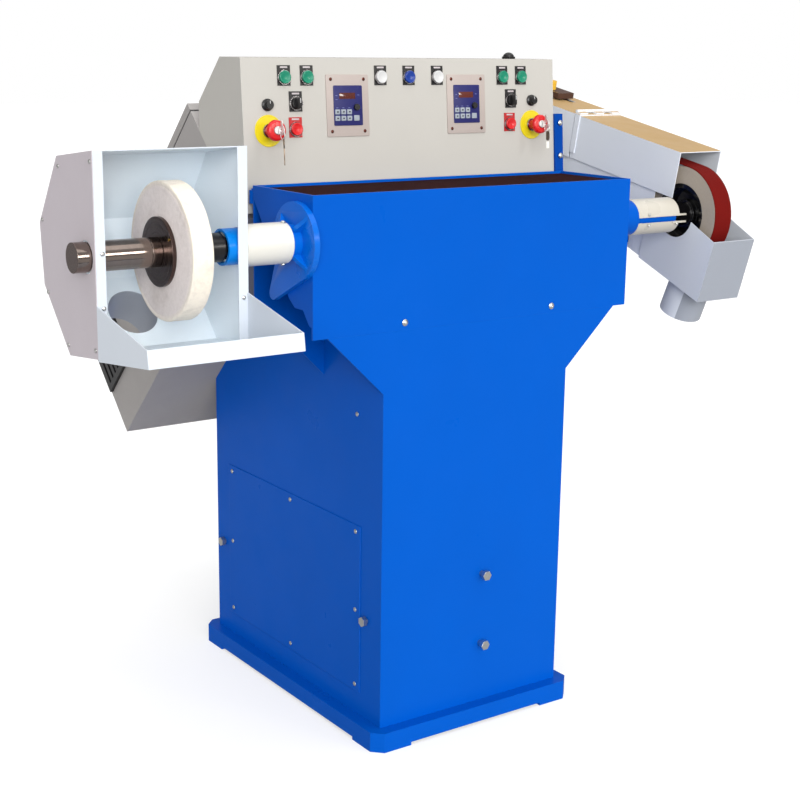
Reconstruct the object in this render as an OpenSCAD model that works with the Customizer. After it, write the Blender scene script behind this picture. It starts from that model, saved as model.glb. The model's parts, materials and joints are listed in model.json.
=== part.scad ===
// Double-ended pedestal finishing machine: a buffing wheel on the left spindle,
// an abrasive-belt arm on the right spindle, and a tilted control cabinet behind.
// X runs along the spindles, Y to the back, Z up. The origin is on the floor,
// under the middle of the column. Lengths are in millimetres.

/* [Pedestal] */
// Width of the column
col_w = 475; // [440:5:520]
// Depth of the column, front to back
col_d = 700; // [650:10:760]
// Height of the base plate's top above the floor
base_h = 43; // [38:1:55]
// How far the base stands out around the column
base_over = 28; // [20:1:40]
// Thickness of the column's sheet
wall = 5; // [4:1:8]

/* [Head] */
// Width of the head over its front plate
head_w = 792; // [760:4:840]
// Depth of the head, front to back
head_d = 225; // [200:5:250]
// Height of the head's top rim
head_top = 1157; // [1140:1:1200]
// Height of the seam under the head cover
seam_z = 883; // [860:1:900]
// Height where the column starts to flare
flare_z = 758; // [740:1:770]

/* [Spindles] */
// Height of both spindle axes
axis_z = 1066; // [1060:1:1072]
// Distance of the spindle axes behind the column's front
axis_in = 50; // [48:1:54]
// Radius of the spindle shafts
shaft_r = 20; // [18:1:22]
// Radius of the buffing wheel
buff_r = 126; // [100:1:130]
// Width of the buffing wheel
buff_w = 41; // [30:1:45]
// Radius of the contact wheel without its belt
contact_r = 107; // [100:1:110]
// Width of the abrasive belt
belt_w = 50; // [40:5:50]

/* [Belt arm] */
// Upward tilt of the belt arm
arm_tilt = 10.8; // [8:0.2:14]
// Distance from the contact wheel's axis to the idler's axis
arm_len = 780; // [700:10:820]
// Radius of the idler wheel
idler_r = 45; // [40:1:48]

/* [Cabinet] */
// Width of the control cabinet
cab_w = 800; // [760:10:820]
// Length of the cabinet along its tilted back
cab_len = 800; // [780:10:800]
// Depth of the cabinet with its door
cab_deep = 310; // [300:5:315]
// Sideways offset of the cabinet
cab_x = -6; // [-10:1:6]

/* [Controls] */
// Travel of the push buttons
button_travel = 4; // [2:0.5:5]
// Travel of the emergency stops
estop_travel = 5; // [3:0.5:6]

/* [Hidden] */
$fn = 64;
fine = 96;

blue = [0.0, 0.33, 0.78];
sheet_white = [0.86, 0.89, 0.93];
warm_grey = [0.80, 0.79, 0.76];
steel = [0.55, 0.53, 0.52];
black = [0.06, 0.06, 0.07];

// pedestal
front_y = -col_d / 2;
back_y = col_d / 2;
half_w = col_w / 2;
half_head = head_w / 2;
head_back = front_y + head_d;
head_sheet = 4;
end_sheet = 5;
head_end = half_head + end_sheet;
pad_h = 7;
base_top_t = 8;
base_skirt = 6;
base_chamfer = 22;
base_x = half_w + base_over;
base_y = col_d / 2 + base_over;
anchor_x = 195;
anchor_y = 308;
anchor_r = 7;
web_top = 905;
slope_sum = 1008;
slope_back_z = slope_sum - back_y;
slope_top_z = 1086;
shelf_z = 150;
flare_out = 130;
rear_flare_z = 920;
rim_h = 10;
mat_t = 5;

// spindles
axis_y = front_y + axis_in;
run_gap = 0.05;
housing_r = 34;
bearing_r = 29;
bearing_w = 18;
flange_t = 12;
flange_r = 76;
guard_r = 39.3;
guard_t = 1.6;
pulley_x = 195;
pulley_w = 30;
pulley_r = 42;
groove_r = 36;
belt_gap = 0.4;
motor_r = 88;
motor_axis_z = 250;
left_motor_y = -190;
right_motor_y = 110;
motor_shaft_r = 12;
sleeve_r = 27;
clamp_r = 63;
buff_edge = 3;

left_end = -857;
buff_face = -688;
left_nose = -568;
left_guard = [-532, -434];
right_nose = 562;
right_guard = [444, 567];
strip_out = 20;
contact_face = 607;
right_end = 672;

// belt arm: u runs up along the arm from the contact wheel's axis, w is square to it
belt_t = 2;
arm_x = [592, 722];
arm_sheet = 2;
arm_top = 137;
arm_low = 32;
cover_u = [19, 380];
cover_gap = 3;
trough_end = 860;
low_slope = 0.196;
low_w0 = -148;
outer_r = contact_r + belt_gap + belt_t;
idler_w = outer_r - (idler_r + belt_gap + belt_t);
box_end = 88;
spout_r = 49;
spout_len = 84;
arm_mid = (arm_x[0] + arm_x[1]) / 2;
belt_mid = contact_face + belt_w / 2;
guide_u = 590;
hinge_r = 4;
hinge_pin = 2;
hinge_at = [cover_u[1] + 1.5, arm_top + 8];
guide_r = 8;
handle_u = 528;

// hood
hood_x = [-831, -532];
hood_front = -338;
hood_t = 2;
hood_profile = [[-338, 1251], [-184, 1232], [-94, 1105], [-105, 992], [-214, 877], [-338, 891]];
duct_r = 50;
duct_len = 90;
duct_y = -160;
duct_tilt = atan2(hood_profile[3][1] - hood_profile[4][1], hood_profile[3][0] - hood_profile[4][0]);
duct_at = [(hood_x[0] + hood_x[1]) / 2, duct_y,
           hood_profile[3][1] + (duct_y - hood_profile[3][0]) * tan(duct_tilt)];
tray_profile = [[-338, 985], [-534, 942], [-539, 910], [-338, 887]];

// cabinet: a box tilted by 45 degrees, its back on the column's slope
cab_half = cab_w / 2;
cab_front = [-78.5, slope_sum + 78.5];
door_t = 18;
seal_t = 4;
body_deep = cab_deep - door_t - seal_t;
cab_t = 3;

// console
panel_low = [-111, 1100];
panel_top = [-87, 1403];
lean = atan((panel_top[0] - panel_low[0]) / (panel_top[1] - panel_low[1]));
console_t = 2;
console_profile = [panel_low, panel_top, [-4, 1403], [88, 1311],
    [88, 1311 - 58], [-65, 1100]];

// control positions on the panel: [x, z]
green_at = [[-309, 1364], [-256, 1364], [247, 1364], [299.5, 1364]];
white_at = [[-76.5, 1364], [69.5, 1364]];
blue_at = [-4.5, 1364];
red_at = [[-286.5, 1262], [266, 1263]];
estop_at = [[-349, 1260], [328.5, 1260.5]];
selector_at = [[-284, 1313], [270, 1314]];
knob_at = [[-350, 1311], [328.5, 1313.5]];
keypad_at = [[-160, 1307], [146, 1308]];
plate_size = [30, 40];
plate_t = 1.5;
bezel_r = 14.9;
bezel_in = 13.3;
bezel_h = 5;
cap_r = 12.8;
cap_h = button_travel;
estop_r = 21;
estop_low = 22 + estop_travel;
estop_high = estop_low + 10;
disc_r = 31.5;
keypad_size = [103, 125, 2.2];
keypad_face = [70, 81, 2];
key_pitch = [14.5, 13];
stem_hole = 11.2;
stem_r = 10.6;
knob_shaft = 3;

// ---------- helpers ----------

// outline given as [y, z] points, extruded from x0 to x1
module side_plate(points, x0, x1) {
    translate([x0, 0, 0])
        rotate([90, 0, 90])
            linear_extrude(x1 - x0) polygon(points);
}

// outline given as [x, z] points, extruded from y0 to y1
module front_plate(points, y0, y1) {
    translate([0, y1, 0])
        rotate([90, 0, 0])
            linear_extrude(y1 - y0) polygon(points);
}

module bar_x(r, x0, x1, y = axis_y, z = axis_z) {
    translate([x0, y, z])
        rotate([0, 90, 0])
            cylinder(r = r, h = x1 - x0, $fn = fine);
}

module tube_x(r_out, r_in, x0, x1, y = axis_y, z = axis_z) {
    difference() {
        bar_x(r_out, x0, x1, y, z);
        bar_x(r_in, x0 - 1, x1 + 1, y, z);
    }
}

module box(low, high) {
    translate(low) cube(high - low);
}

module both_sides() {
    children();
    mirror([1, 0, 0]) children();
}

// from the arm's own frame to the machine's: local X across, Y along u, Z along w
module on_arm() {
    translate([0, axis_y, axis_z])
        rotate([arm_tilt, 0, 0]) children();
}

// from the panel's own frame to the machine's: local Z stands out of the panel
module on_panel(at) {
    y = panel_low[0] + (at[1] - panel_low[1]) * tan(lean);
    translate([at[0], y, at[1]])
        rotate([90 - lean, 0, 0]) children();
}

// from the cabinet's own frame: local X across, Y down along the back, Z out to the door
module on_cabinet() {
    translate([cab_x, cab_front[0], cab_front[1]])
        rotate([-45, 0, 0]) children();
}

module hex_bolt(r_head, head_h, r_shank, len) {
    cylinder(r = r_head, h = head_h, $fn = 6);
    translate([0, 0, -len]) cylinder(r = r_shank, h = len);
}

module pan_screw(r, h) {
    translate([0, 0, -4]) cylinder(r = r / 2, h = 4, $fn = 24);
    intersection() {
        cylinder(r = r, h = h, $fn = 24);
        translate([0, 0, h - r * 1.5]) sphere(r = r * 1.5, $fn = 24);
    }
}

// ---------- pedestal ----------

module base_outline(grow) {
    x = base_x + grow;
    y = base_y + grow;
    c = base_chamfer;
    polygon([[-x + c, -y], [x - c, -y], [x, -y + c], [x, y - c],
             [x - c, y], [-x + c, y], [-x, y - c], [-x, -y + c]]);
}

module base_plate() {
    color(blue)
        difference() {
            union() {
                translate([0, 0, pad_h])
                    difference() {
                        linear_extrude(base_h - pad_h) base_outline(0);
                        translate([0, 0, -1])
                            linear_extrude(base_h - pad_h - base_top_t + 1)
                                base_outline(-base_skirt);
                    }
                corner_blocks();
            }
            for (sx = [-1, 1], sy = [-1, 1])
                translate([sx * anchor_x, sy * anchor_y, -1])
                    cylinder(r = anchor_r, h = base_h + 2);
        }
}

// solid corners that carry the foot pads and the anchor holes
module corner_blocks() {
    intersection() {
        linear_extrude(base_h - 1) base_outline(0);
        for (sx = [-1, 1], sy = [-1, 1])
            translate([sx * (base_x - 45), sy * (base_y - 45), base_h / 2])
                cube([90, 90, base_h], center = true);
    }
}

module column_shell() {
    color(blue) {
        difference() {
            union() {
                column_sides();
                column_front();
                column_back();
                column_slope();
                head_rear_plate();
            }
            // holes of the front adjusting bolts
            for (z = [176, 334])
                translate([22, front_y - 1, z])
                    rotate([-90, 0, 0]) cylinder(r = 6, h = wall + 2);
            // holes of the side adjusting bolts
            for (y = [-296, 316])
                translate([-half_w - 1, y, 264])
                    rotate([0, 90, 0]) cylinder(r = 6, h = wall + 2);
            // opening behind the access panel
            box([-half_w - 1, -230, 140], [-half_w + wall + 1, 245, 420]);
        }
        box([-half_w + wall, front_y + wall, shelf_z - 8], [half_w - wall, back_y - wall, shelf_z]);
    }
}

module column_sides() {
    both_sides()
        side_plate([[front_y + wall, base_h], [back_y, base_h], [back_y, slope_back_z],
                    [slope_sum - slope_top_z, slope_top_z], [head_back, slope_top_z],
                    [head_back, web_top], [front_y + wall, web_top]],
                   half_w - wall, half_w);
}

module column_front() {
    front_plate([[-half_w, base_h], [half_w, base_h], [half_w, flare_z],
                 [half_w + flare_out, seam_z], [-half_w - flare_out, seam_z],
                 [-half_w, flare_z]],
                front_y, front_y + wall);
    // ledge that the head cover's front is screwed to
    box([-half_head + 60, front_y + wall, seam_z - 20], [half_head - 60, front_y + wall + 3, seam_z + 28]);
}

module column_back() {
    box([-half_w + wall, back_y - wall, base_h], [half_w - wall, back_y, slope_back_z]);
}

// sloping roof that the cabinet's back is bolted to
module column_slope() {
    drop = wall * sqrt(2);
    side_plate([[back_y, slope_back_z], [back_y, slope_back_z - drop],
                [head_back, slope_sum - head_back - drop - 40],
                [head_back, slope_top_z], [slope_sum - slope_top_z, slope_top_z]],
               -half_w + wall, half_w - wall);
}

module head_rear_plate() {
    difference() {
        front_plate([[-half_w, flare_z], [half_w, flare_z], [head_end, rear_flare_z],
                     [head_end, head_top - rim_h - head_sheet],
                     [-head_end, head_top - rim_h - head_sheet], [-head_end, rear_flare_z]],
                    head_back - head_sheet, head_back);
        // opening for the right drive belt
        box([pulley_x - 25, head_back - head_sheet - 1, flare_z - 1],
            [pulley_x + 25, head_back + 1, flare_z + 112]);
    }
}

// lower edge of an end plate, stepping down from the back to the front
end_profile = [
    [front_y, seam_z], [front_y, head_top], [head_back, head_top],
    [head_back, head_top - rim_h - head_sheet], [head_back - head_sheet, head_top - rim_h - head_sheet],
    [head_back - head_sheet, 1129], [-238, 986], [-262, 952], [-284, 936], [-314, 936], [-336, 909], [-345, 907],
    [-345, seam_z]
];

module head_cover() {
    inner = half_head - 1;
    color(blue) {
        front_plate([[-head_end, seam_z + 75], [-half_head, seam_z + 75], [-half_head, seam_z],
                     [half_head, seam_z], [half_head, seam_z + 75], [head_end, seam_z + 75],
                     [head_end, head_top], [-head_end, head_top]],
                    front_y, front_y + head_sheet);
        both_sides()
            difference() {
                side_plate(end_profile, half_head, head_end);
                bar_x(housing_r + 1, half_head - 1, head_end + 1);
            }
        // tray floor and its rear rim
        box([-inner - 1, front_y + 2, head_top - rim_h - head_sheet],
            [inner + 1, head_back, head_top - rim_h]);
        box([-inner - 1, head_back - head_sheet, head_top - rim_h - 1],
            [inner + 1, head_back, head_top]);
        // hinge knuckle at the back left corner
        translate([-head_end + 4, head_back + 7.2, head_top - 36])
            cylinder(r = 7, h = 26);
        box([-head_end, head_back, head_top - rim_h - 1], [-head_end + 6, head_back + 6, head_top - rim_h + 4]);
    }
}

module top_mat() {
    color([0.13, 0.09, 0.08])
        box([-half_head + 2, front_y + head_sheet + 2, head_top - rim_h],
            [half_head - 2, head_back - head_sheet - 2, head_top - rim_h + mat_t]);
}

module access_panel() {
    color(blue)
        box([-half_w - 2, -274, 94], [-half_w, 289, 463]);
}

module pedestal_screws() {
    color(steel) {
        for (at = [[-257, 109], [-257, 277], [-257, 449], [7, 109], [7, 449],
                   [272, 109], [272, 277], [272, 449]])
            translate([-half_w - 2, at[0], at[1]])
                rotate([0, -90, 0]) pan_screw(5, 3);
        translate([-half_w, -257, 699])
            rotate([0, -90, 0]) pan_screw(5, 3);
        for (x = [-188, 190])
            translate([x, front_y, seam_z + 15])
                rotate([90, 0, 0]) pan_screw(7, 4);
        for (z = [1190, 1263])
            translate([408, -105 - (1263 - z) * tan(lean), z])
                rotate([90 - lean, 0, 0]) pan_screw(6, 4);
    }
}

module jacking_bolts() {
    color(steel) {
        for (z = [176, 334])
            translate([22, front_y - 12, z])
                rotate([90, 0, 0]) hex_bolt(11, 9, 5.9, 60);
        for (y = [-296, 316])
            translate([-half_w - 4, y, 264])
                rotate([0, -90, 0]) hex_bolt(11, 9, 5.9, 40);
        for (z = [176, 334])
            translate([22, front_y + wall, z])
                rotate([-90, 0, 0]) cylinder(r = 11, h = 9, $fn = 6);
    }
}

// ---------- spindles ----------

// bored tube that carries the spindle; children are joined to it before boring
module spindle_housing(nose) {
    difference() {
        union() {
            bar_x(housing_r, half_head - 30, nose);
            children();
        }
        bar_x(bearing_r, half_head - 31, nose + 1);
    }
}

// rounded ear that reaches down and back from the flange
module flange_lug() {
    side_plate([[axis_y - 40, axis_z - 64], [axis_y + 74, axis_z - 121],
                [axis_y + 90, axis_z - 102], [axis_y + 60, axis_z - 24]],
               head_end, head_end + flange_t);
    translate([head_end, axis_y + 79, axis_z - 109])
        rotate([0, 90, 0]) cylinder(r = 13, h = flange_t);
}

module gusset(angle) {
    translate([0, axis_y, axis_z])
        rotate([angle, 0, 0])
            translate([0, 4, 0])
                rotate([90, 0, 0])
                    linear_extrude(8)
                        polygon([[head_end + flange_t - 1, housing_r - 4],
                                 [head_end + flange_t - 1, flange_r - 6],
                                 [head_end + flange_t + 18, housing_r + 1],
                                 [head_end + flange_t + 18, housing_r - 4]]);
}

module left_spindle_housing() {
    color(blue)
        mirror([1, 0, 0])
            spindle_housing(-left_nose) {
                bar_x(flange_r, head_end, head_end + flange_t);
                flange_lug();
                for (a = [45, 135, 225, 315]) gusset(a);
            }
}

module right_spindle_housing() {
    color(blue)
        spindle_housing(right_nose)
            bar_x(guard_r, head_end, right_guard[0]);
}

module left_tube_guard() {
    color(sheet_white) {
        tube_x(guard_r, guard_r - guard_t, left_guard[0], left_guard[1]);
        // corner brackets that tie the hood to the tube
        for (s = [-1, 1])
            side_plate([[axis_y + 20, axis_z + s * 33.5], [axis_y + 62, axis_z + s * 58],
                        [axis_y + 62, axis_z + s * 33.5]],
                       left_guard[0], left_guard[0] + 3);
        tube_x(guard_r, housing_r + run_gap, left_guard[0], left_guard[0] + 6);
        tube_x(guard_r, housing_r + run_gap, left_guard[1] - 6, left_guard[1]);
    }
}

module right_tube_guard() {
    color(sheet_white)
        difference() {
            union() {
                tube_x(guard_r, guard_r - guard_t, right_guard[0], right_guard[1]);
                tube_x(guard_r, housing_r + run_gap, right_guard[0] + 8, right_guard[0] + 14);
                tube_x(guard_r, housing_r + run_gap, right_guard[1] - 10, right_guard[1] - 4);
                for (dz = [-14, 2])
                    box([right_guard[1] - 20, axis_y - guard_r - 1, axis_z + dz],
                        [right_guard[1] + strip_out, axis_y - guard_r + 4, axis_z + dz + 4]);
            }
            box([right_guard[0] - 1, axis_y - guard_r - 3, axis_z - 10],
                [right_guard[1] + 1, axis_y - housing_r + 4, axis_z + 2]);
        }
}

module guard_screws() {
    color(steel) {
        for (a = [10, 170])
            translate([left_guard[1] - 5.5, axis_y, axis_z])
                rotate([a, 0, 0]) translate([0, 0, guard_r]) pan_screw(5, 4);
        for (at = [[right_guard[0] + 30, 8], [right_guard[0] + 30, -16], [right_guard[1] - 8, -16]])
            translate([at[0], axis_y - guard_r, axis_z + at[1]])
                rotate([90, 0, 0]) pan_screw(3.5, 3);
        for (at = [[-330, 1232], [-192, 1214], [-110, 1112], [-124, 980], [-210, 896], [-330, 906]])
            translate([hood_x[0], at[0], at[1]])
                rotate([0, -90, 0]) pan_screw(4, 3);
        for (at = [[hood_x[0] + 14, 1075], [hood_x[0] + 14, 980], [hood_x[1] - 10, 976]])
            translate([at[0], hood_front, at[1]])
                rotate([90, 0, 0]) pan_screw(4, 3);
    }
}

module spindle_bearings() {
    color(steel)
        for (x = [left_nose + 6, -head_end - 20, head_end + 2, right_nose - 6 - bearing_w])
            tube_x(bearing_r, shaft_r + run_gap, x, x + bearing_w);
}

module left_shaft() {
    color(steel) {
        bar_x(shaft_r, left_end + 3, -pulley_x + 25);
        // end sleeve, clamping nut, the two clamping flanges and the locknut
        difference() {
            bar_x(sleeve_r, left_end, buff_face - 28.2);
            bar_x(shaft_r + run_gap, left_end + 2.9, buff_face);
        }
        tube_x(sleeve_r, shaft_r + run_gap, buff_face - 28, buff_face - 8.2);
        tube_x(clamp_r, shaft_r + run_gap, buff_face - 8, buff_face - run_gap);
        tube_x(clamp_r, shaft_r + run_gap, buff_face + buff_w + run_gap, buff_face + buff_w + 10);
        tube_x(sleeve_r, shaft_r + run_gap, buff_face + buff_w + 10.2, left_nose - 2);
    }
}

module buff_wheel() {
    color([0.93, 0.90, 0.80])
        translate([buff_face, axis_y, axis_z])
            rotate([0, 90, 0])
                rotate_extrude($fn = fine)
                    polygon([[shaft_r, 0], [buff_r - buff_edge, 0], [buff_r, buff_edge],
                             [buff_r, buff_w - buff_edge], [buff_r - buff_edge, buff_w],
                             [shaft_r, buff_w]]);
}

module right_shaft() {
    color(steel) {
        bar_x(shaft_r, pulley_x - 25, right_end);
        bar_x(30, contact_face + belt_w - 8, contact_face + belt_w + 8);
    }
}

module contact_hub() {
    color(black) {
        tube_x(68, 58, contact_face, contact_face + belt_w);
        tube_x(60, shaft_r, contact_face + 22, contact_face + belt_w - 12);
        tube_x(32, shaft_r, contact_face + 10, contact_face + belt_w - 8);
        tube_x(26, shaft_r, right_nose + 6, contact_face + 11);
    }
}

module contact_tyre() {
    color([0.78, 0.78, 0.76])
        tube_x(contact_r, 68, contact_face, contact_face + belt_w);
}

module grooved_pulley(x, y, z, bore) {
    translate([x, y, z])
        rotate([0, 90, 0])
            rotate_extrude($fn = fine)
                polygon([[bore, -pulley_w / 2], [pulley_r, -pulley_w / 2], [pulley_r, -9],
                         [groove_r, -6], [groove_r, 6], [pulley_r, 9],
                         [pulley_r, pulley_w / 2], [bore, pulley_w / 2]]);
}

module left_spindle_pulley() {
    color(steel) grooved_pulley(-pulley_x, axis_y, axis_z, shaft_r);
}

module right_spindle_pulley() {
    color(steel) grooved_pulley(pulley_x, axis_y, axis_z, shaft_r);
}

module motor_pulley(x, y, inward) {
    grooved_pulley(x, y, motor_axis_z, motor_shaft_r);
    bar_x(motor_shaft_r, min(x - inward * 15, x + inward * 60), max(x - inward * 15, x + inward * 60),
          y, motor_axis_z);
}

module left_motor_pulley() {
    color(steel) motor_pulley(-pulley_x, left_motor_y, 1);
}

module right_motor_pulley() {
    color(steel) motor_pulley(pulley_x, right_motor_y, -1);
}

// foot-mounted motor; drawn with its shaft end at x = 0 and its body towards +X
module motor_body(y) {
    difference() {
        union() {
            bar_x(motor_r, 30, 250, y, motor_axis_z);
            bar_x(motor_r - 10, 250, 285, y, motor_axis_z);
            bar_x(34, 12, 31, y, motor_axis_z);
            box([60, y - 80, shelf_z], [220, y + 80, shelf_z + 30]);
            box([100, y - 40, motor_axis_z + motor_r - 12], [180, y + 40, motor_axis_z + motor_r + 34]);
        }
        bar_x(motor_shaft_r + run_gap, 0, 90, y, motor_axis_z);
    }
}

module left_motor() {
    color([0.35, 0.38, 0.42])
        translate([-pulley_x + pulley_w / 2 - 4, 0, 0]) motor_body(left_motor_y);
}

module right_motor() {
    color([0.35, 0.38, 0.42])
        mirror([1, 0, 0])
            translate([-pulley_x + pulley_w / 2 - 4, 0, 0]) motor_body(right_motor_y);
}

// flat outline around two equal pulleys, in [y, z]
module loop_outline(from, to, r) {
    run = to - from;
    len = norm(run);
    side = [-run[1], run[0]] / len * r;
    translate(from) circle(r = r, $fn = fine);
    translate(to) circle(r = r, $fn = fine);
    polygon([from + side, to + side, to - side, from - side]);
}

module drive_belt(x, motor_y) {
    inner = groove_r + belt_gap;
    translate([x - 5, 0, 0])
        rotate([90, 0, 90])
            linear_extrude(10)
                difference() {
                    loop_outline([axis_y, axis_z], [motor_y, motor_axis_z], inner + 8);
                    loop_outline([axis_y, axis_z], [motor_y, motor_axis_z], inner);
                }
}

module drive_belts() {
    color(black) {
        drive_belt(-pulley_x, left_motor_y);
        drive_belt(pulley_x, right_motor_y);
    }
}

// ---------- buffing hood ----------

module hood_shell() {
    inset = hood_t;
    color(sheet_white)
        difference() {
            union() {
                difference() {
                    side_plate(hood_profile, hood_x[0] + hood_t, hood_x[1]);
                    side_plate([[-400, 1249], [-339, 1249], [-185, 1230], [-96, 1104.5],
                                [-107, 993], [-215, 879], [-339, 893], [-400, 893]],
                               hood_x[0] - 1, hood_x[1] - inset);
                }
                for (x = [[hood_x[0] + hood_t, hood_x[0] + 20], [hood_x[1] - 20, hood_x[1]]])
                    box([x[0], hood_front, 891], [x[1], hood_front + hood_t, 1250]);
            }
            bar_x(housing_r + 1, hood_x[1] - 10, hood_x[1] + 1);
            duct_core(duct_r - hood_t, -10, 30);
        }
}

// the exhaust duct leaves square to the hood's sloped lower back
module duct_core(r, start, len) {
    translate(duct_at)
        rotate([-180 + duct_tilt, 0, 0])
            translate([0, 0, start]) cylinder(r = r, h = len);
}

module hood_duct() {
    color(sheet_white)
        difference() {
            duct_core(duct_r, 0, duct_len);
            duct_core(duct_r - hood_t, -1, duct_len + 2);
        }
}

module hood_side_panel() {
    color(sheet_white)
        difference() {
            side_plate(hood_profile, hood_x[0], hood_x[0] + hood_t);
            bar_x(sleeve_r + 2, hood_x[0] - 1, hood_x[0] + hood_t + 1);
        }
}

module hood_tray() {
    color(sheet_white)
        difference() {
            side_plate(tray_profile, hood_x[0], hood_x[1]);
            side_plate([[-337, 1000], [-540, 950], [-532, 944], [-536.5, 912.3], [-337, 889.5]],
                       hood_x[0] + hood_t, hood_x[1] - hood_t);
        }
}

// ---------- control cabinet ----------

// barrel of a door hinge: part 0 is fixed and carries the pin, part 1 turns on it
module door_hinge(part) {
    x = -cab_half - 5.5;
    z = body_deep + seal_t / 2;
    for (y = [230, 560])
        if (part == 0) {
            for (dy = [-29, 31])
                translate([x, y + dy, z]) rotate([-90, 0, 0]) cylinder(r = 5, h = 28);
            for (dy = [-29, 31])
                translate([x, y + dy, z - 20]) cube([5.6, 28, 20]);
            translate([x, y - 29, z]) rotate([-90, 0, 0]) cylinder(r = 2.5, h = 88);
        } else
            difference() {
                union() {
                    translate([x, y + 1, z]) rotate([-90, 0, 0]) cylinder(r = 5, h = 28);
                    translate([x, y + 1, z]) cube([5.6, 28, 18]);
                }
                translate([x, y, z]) rotate([-90, 0, 0]) cylinder(r = 2.5 + run_gap, h = 30);
            }
}

module cabinet_shell() {
    color(warm_grey)
        on_cabinet()
            difference() {
                translate([-cab_half, 0, 0]) cube([cab_w, cab_len, body_deep]);
                translate([-cab_half + cab_t, cab_t, cab_t])
                    cube([cab_w - 2 * cab_t, cab_len - 2 * cab_t, body_deep]);
            }
    color(warm_grey) on_cabinet() door_hinge(0);
}

module cabinet_door() {
    z0 = body_deep + seal_t + 0.3;
    color(warm_grey)
        on_cabinet() {
            difference() {
                translate([-cab_half, 0, z0]) cube([cab_w, cab_len, door_t - 0.3]);
                translate([-cab_half + 3, 3, z0 - 1])
                    cube([cab_w - 6, cab_len - 6, door_t - 3]);
            }
            door_hinge(1);
            // quarter-turn locks
            for (y = [150, cab_len - 150])
                translate([cab_half - 40, y, z0 + door_t - 1]) cylinder(r = 11, h = 5);
        }
}

module cabinet_fittings() {
    color(black) {
        // seal under the door
        on_cabinet()
            difference() {
                translate([-cab_half + 1, 1, body_deep])
                    cube([cab_w - 2, cab_len - 2, seal_t]);
                translate([-cab_half + 14, 14, body_deep - 1])
                    cube([cab_w - 28, cab_len - 28, seal_t + 2]);
            }
        // filter grille on the left side
        on_cabinet()
            difference() {
                translate([-cab_half - 8, cab_len - 157, 110]) cube([8, 150, 150]);
                for (i = [0 : 5])
                    translate([-cab_half - 9, cab_len - 139 + i * 21, 125]) cube([5, 9, 120]);
            }
        // cable gland on the console's top
        translate([297, -50, panel_top[1]]) {
            cylinder(r = 16, h = 5, $fn = 6);
            intersection() {
                cylinder(r = 12, h = 14);
                sphere(r = 14);
            }
        }
    }
}

module cabinet_equipment() {
    color([0.75, 0.75, 0.72])
        on_cabinet() {
            translate([-350, 40, cab_t + 12]) cube([700, 700, 3]);
            for (x = [-280, 130])
                translate([x, 120, cab_t + 15]) cube([130, 220, 160]);
            translate([-300, 480, cab_t + 15]) cube([600, 40, 45]);
            for (x = [-330, 330], y = [60, 720])
                translate([x, y, cab_t]) cylinder(r = 6, h = 12);
        }
}

module console_box() {
    color(warm_grey)
        difference() {
            translate([cab_x, 0, 0]) side_plate(console_profile, -cab_half, cab_half);
            translate([cab_x, 0, 0])
                side_plate([[-108.8, 1102], [-85.2, 1401], [-5, 1401], [86, 1310],
                            [86, 1254], [-66, 1102]],
                           -cab_half + console_t, cab_half - console_t);
            for (at = concat(green_at, white_at, [blue_at], red_at, estop_at, selector_at))
                on_panel(at) translate([0, 0, -12]) cylinder(r = stem_hole, h = 30);
            for (at = knob_at)
                on_panel(at) translate([0, 0, -12]) cylinder(r = knob_shaft + run_gap, h = 30);
        }
}

// blue steel: the beam that carries the belt arm, and the stay beside the console
module support_brackets() {
    color(blue) {
        difference() {
            box([half_w, -118, 955], [arm_x[0] - 6, -48, 1025]);
            box([half_w + 6, -113, 960], [arm_x[0] - 7, -53, 1020]);
        }
        box([arm_x[0] - 6, -150, 985], [arm_x[0] + 4, -16, 1075]);
        // stay: leans with the panel
        front_y0 = panel_low[0] + (1283 - panel_low[1]) * tan(lean);
        side_plate([[panel_low[0] - 5, panel_low[1]], [front_y0 - 5, 1283],
                    [front_y0 + 4, 1283], [panel_low[0] + 4, panel_low[1]]],
                   cab_half + cab_x, cab_half + cab_x + 24);
        box([300, head_back, 1030], [cab_half + cab_x + 24, head_back + 8, 1110]);
    }
}

// ---------- controls ----------

module legend_plate(lift) {
    difference() {
        union() {
            translate([-plate_size[0] / 2, -plate_size[1] / 2 + lift, 0])
                cube([plate_size[0], plate_size[1], plate_t]);
            cylinder(r = bezel_r, h = bezel_h);
        }
        translate([0, 0, -1]) cylinder(r = bezel_in, h = bezel_h + 2);
    }
}

module legend_plates() {
    color(black)
        for (at = concat(green_at, white_at, [blue_at], red_at, selector_at))
            on_panel(at) legend_plate(4);
}

module estop_discs() {
    color([0.95, 0.85, 0.05])
        for (at = estop_at)
            on_panel(at)
                difference() {
                    cylinder(r = disc_r, h = 2);
                    translate([0, 0, -1]) cylinder(r = bezel_in, h = 4);
                }
}

module drive_keypads() {
    color([0.55, 0.57, 0.58])
        for (at = keypad_at)
            on_panel(at) {
                translate([-keypad_size[0] / 2, -keypad_size[1] / 2, 0]) cube(keypad_size);
                translate([-keypad_face[0] / 2, -keypad_face[1] / 2, 1.5]) cube(keypad_face);
                for (i = [-1 : 1], j = [-1, 0])
                    translate([-12.5 + i * key_pitch[0], -12.7 + j * key_pitch[1], 3])
                        translate([-5.8, -5, 0]) cube([11.6, 10, 2.2]);
                translate([13, -31.2, 3]) cube([13, 11, 2.2]);
                translate([20, -3.5, 3]) cylinder(r = 6.8, h = 5.5);
            }
}

module push_button(at) {
    on_panel(at) {
        translate([0, 0, bezel_h]) cylinder(r = cap_r, h = cap_h);
        translate([0, 0, -10]) cylinder(r = stem_r, h = bezel_h + 10);
    }
}

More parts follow.
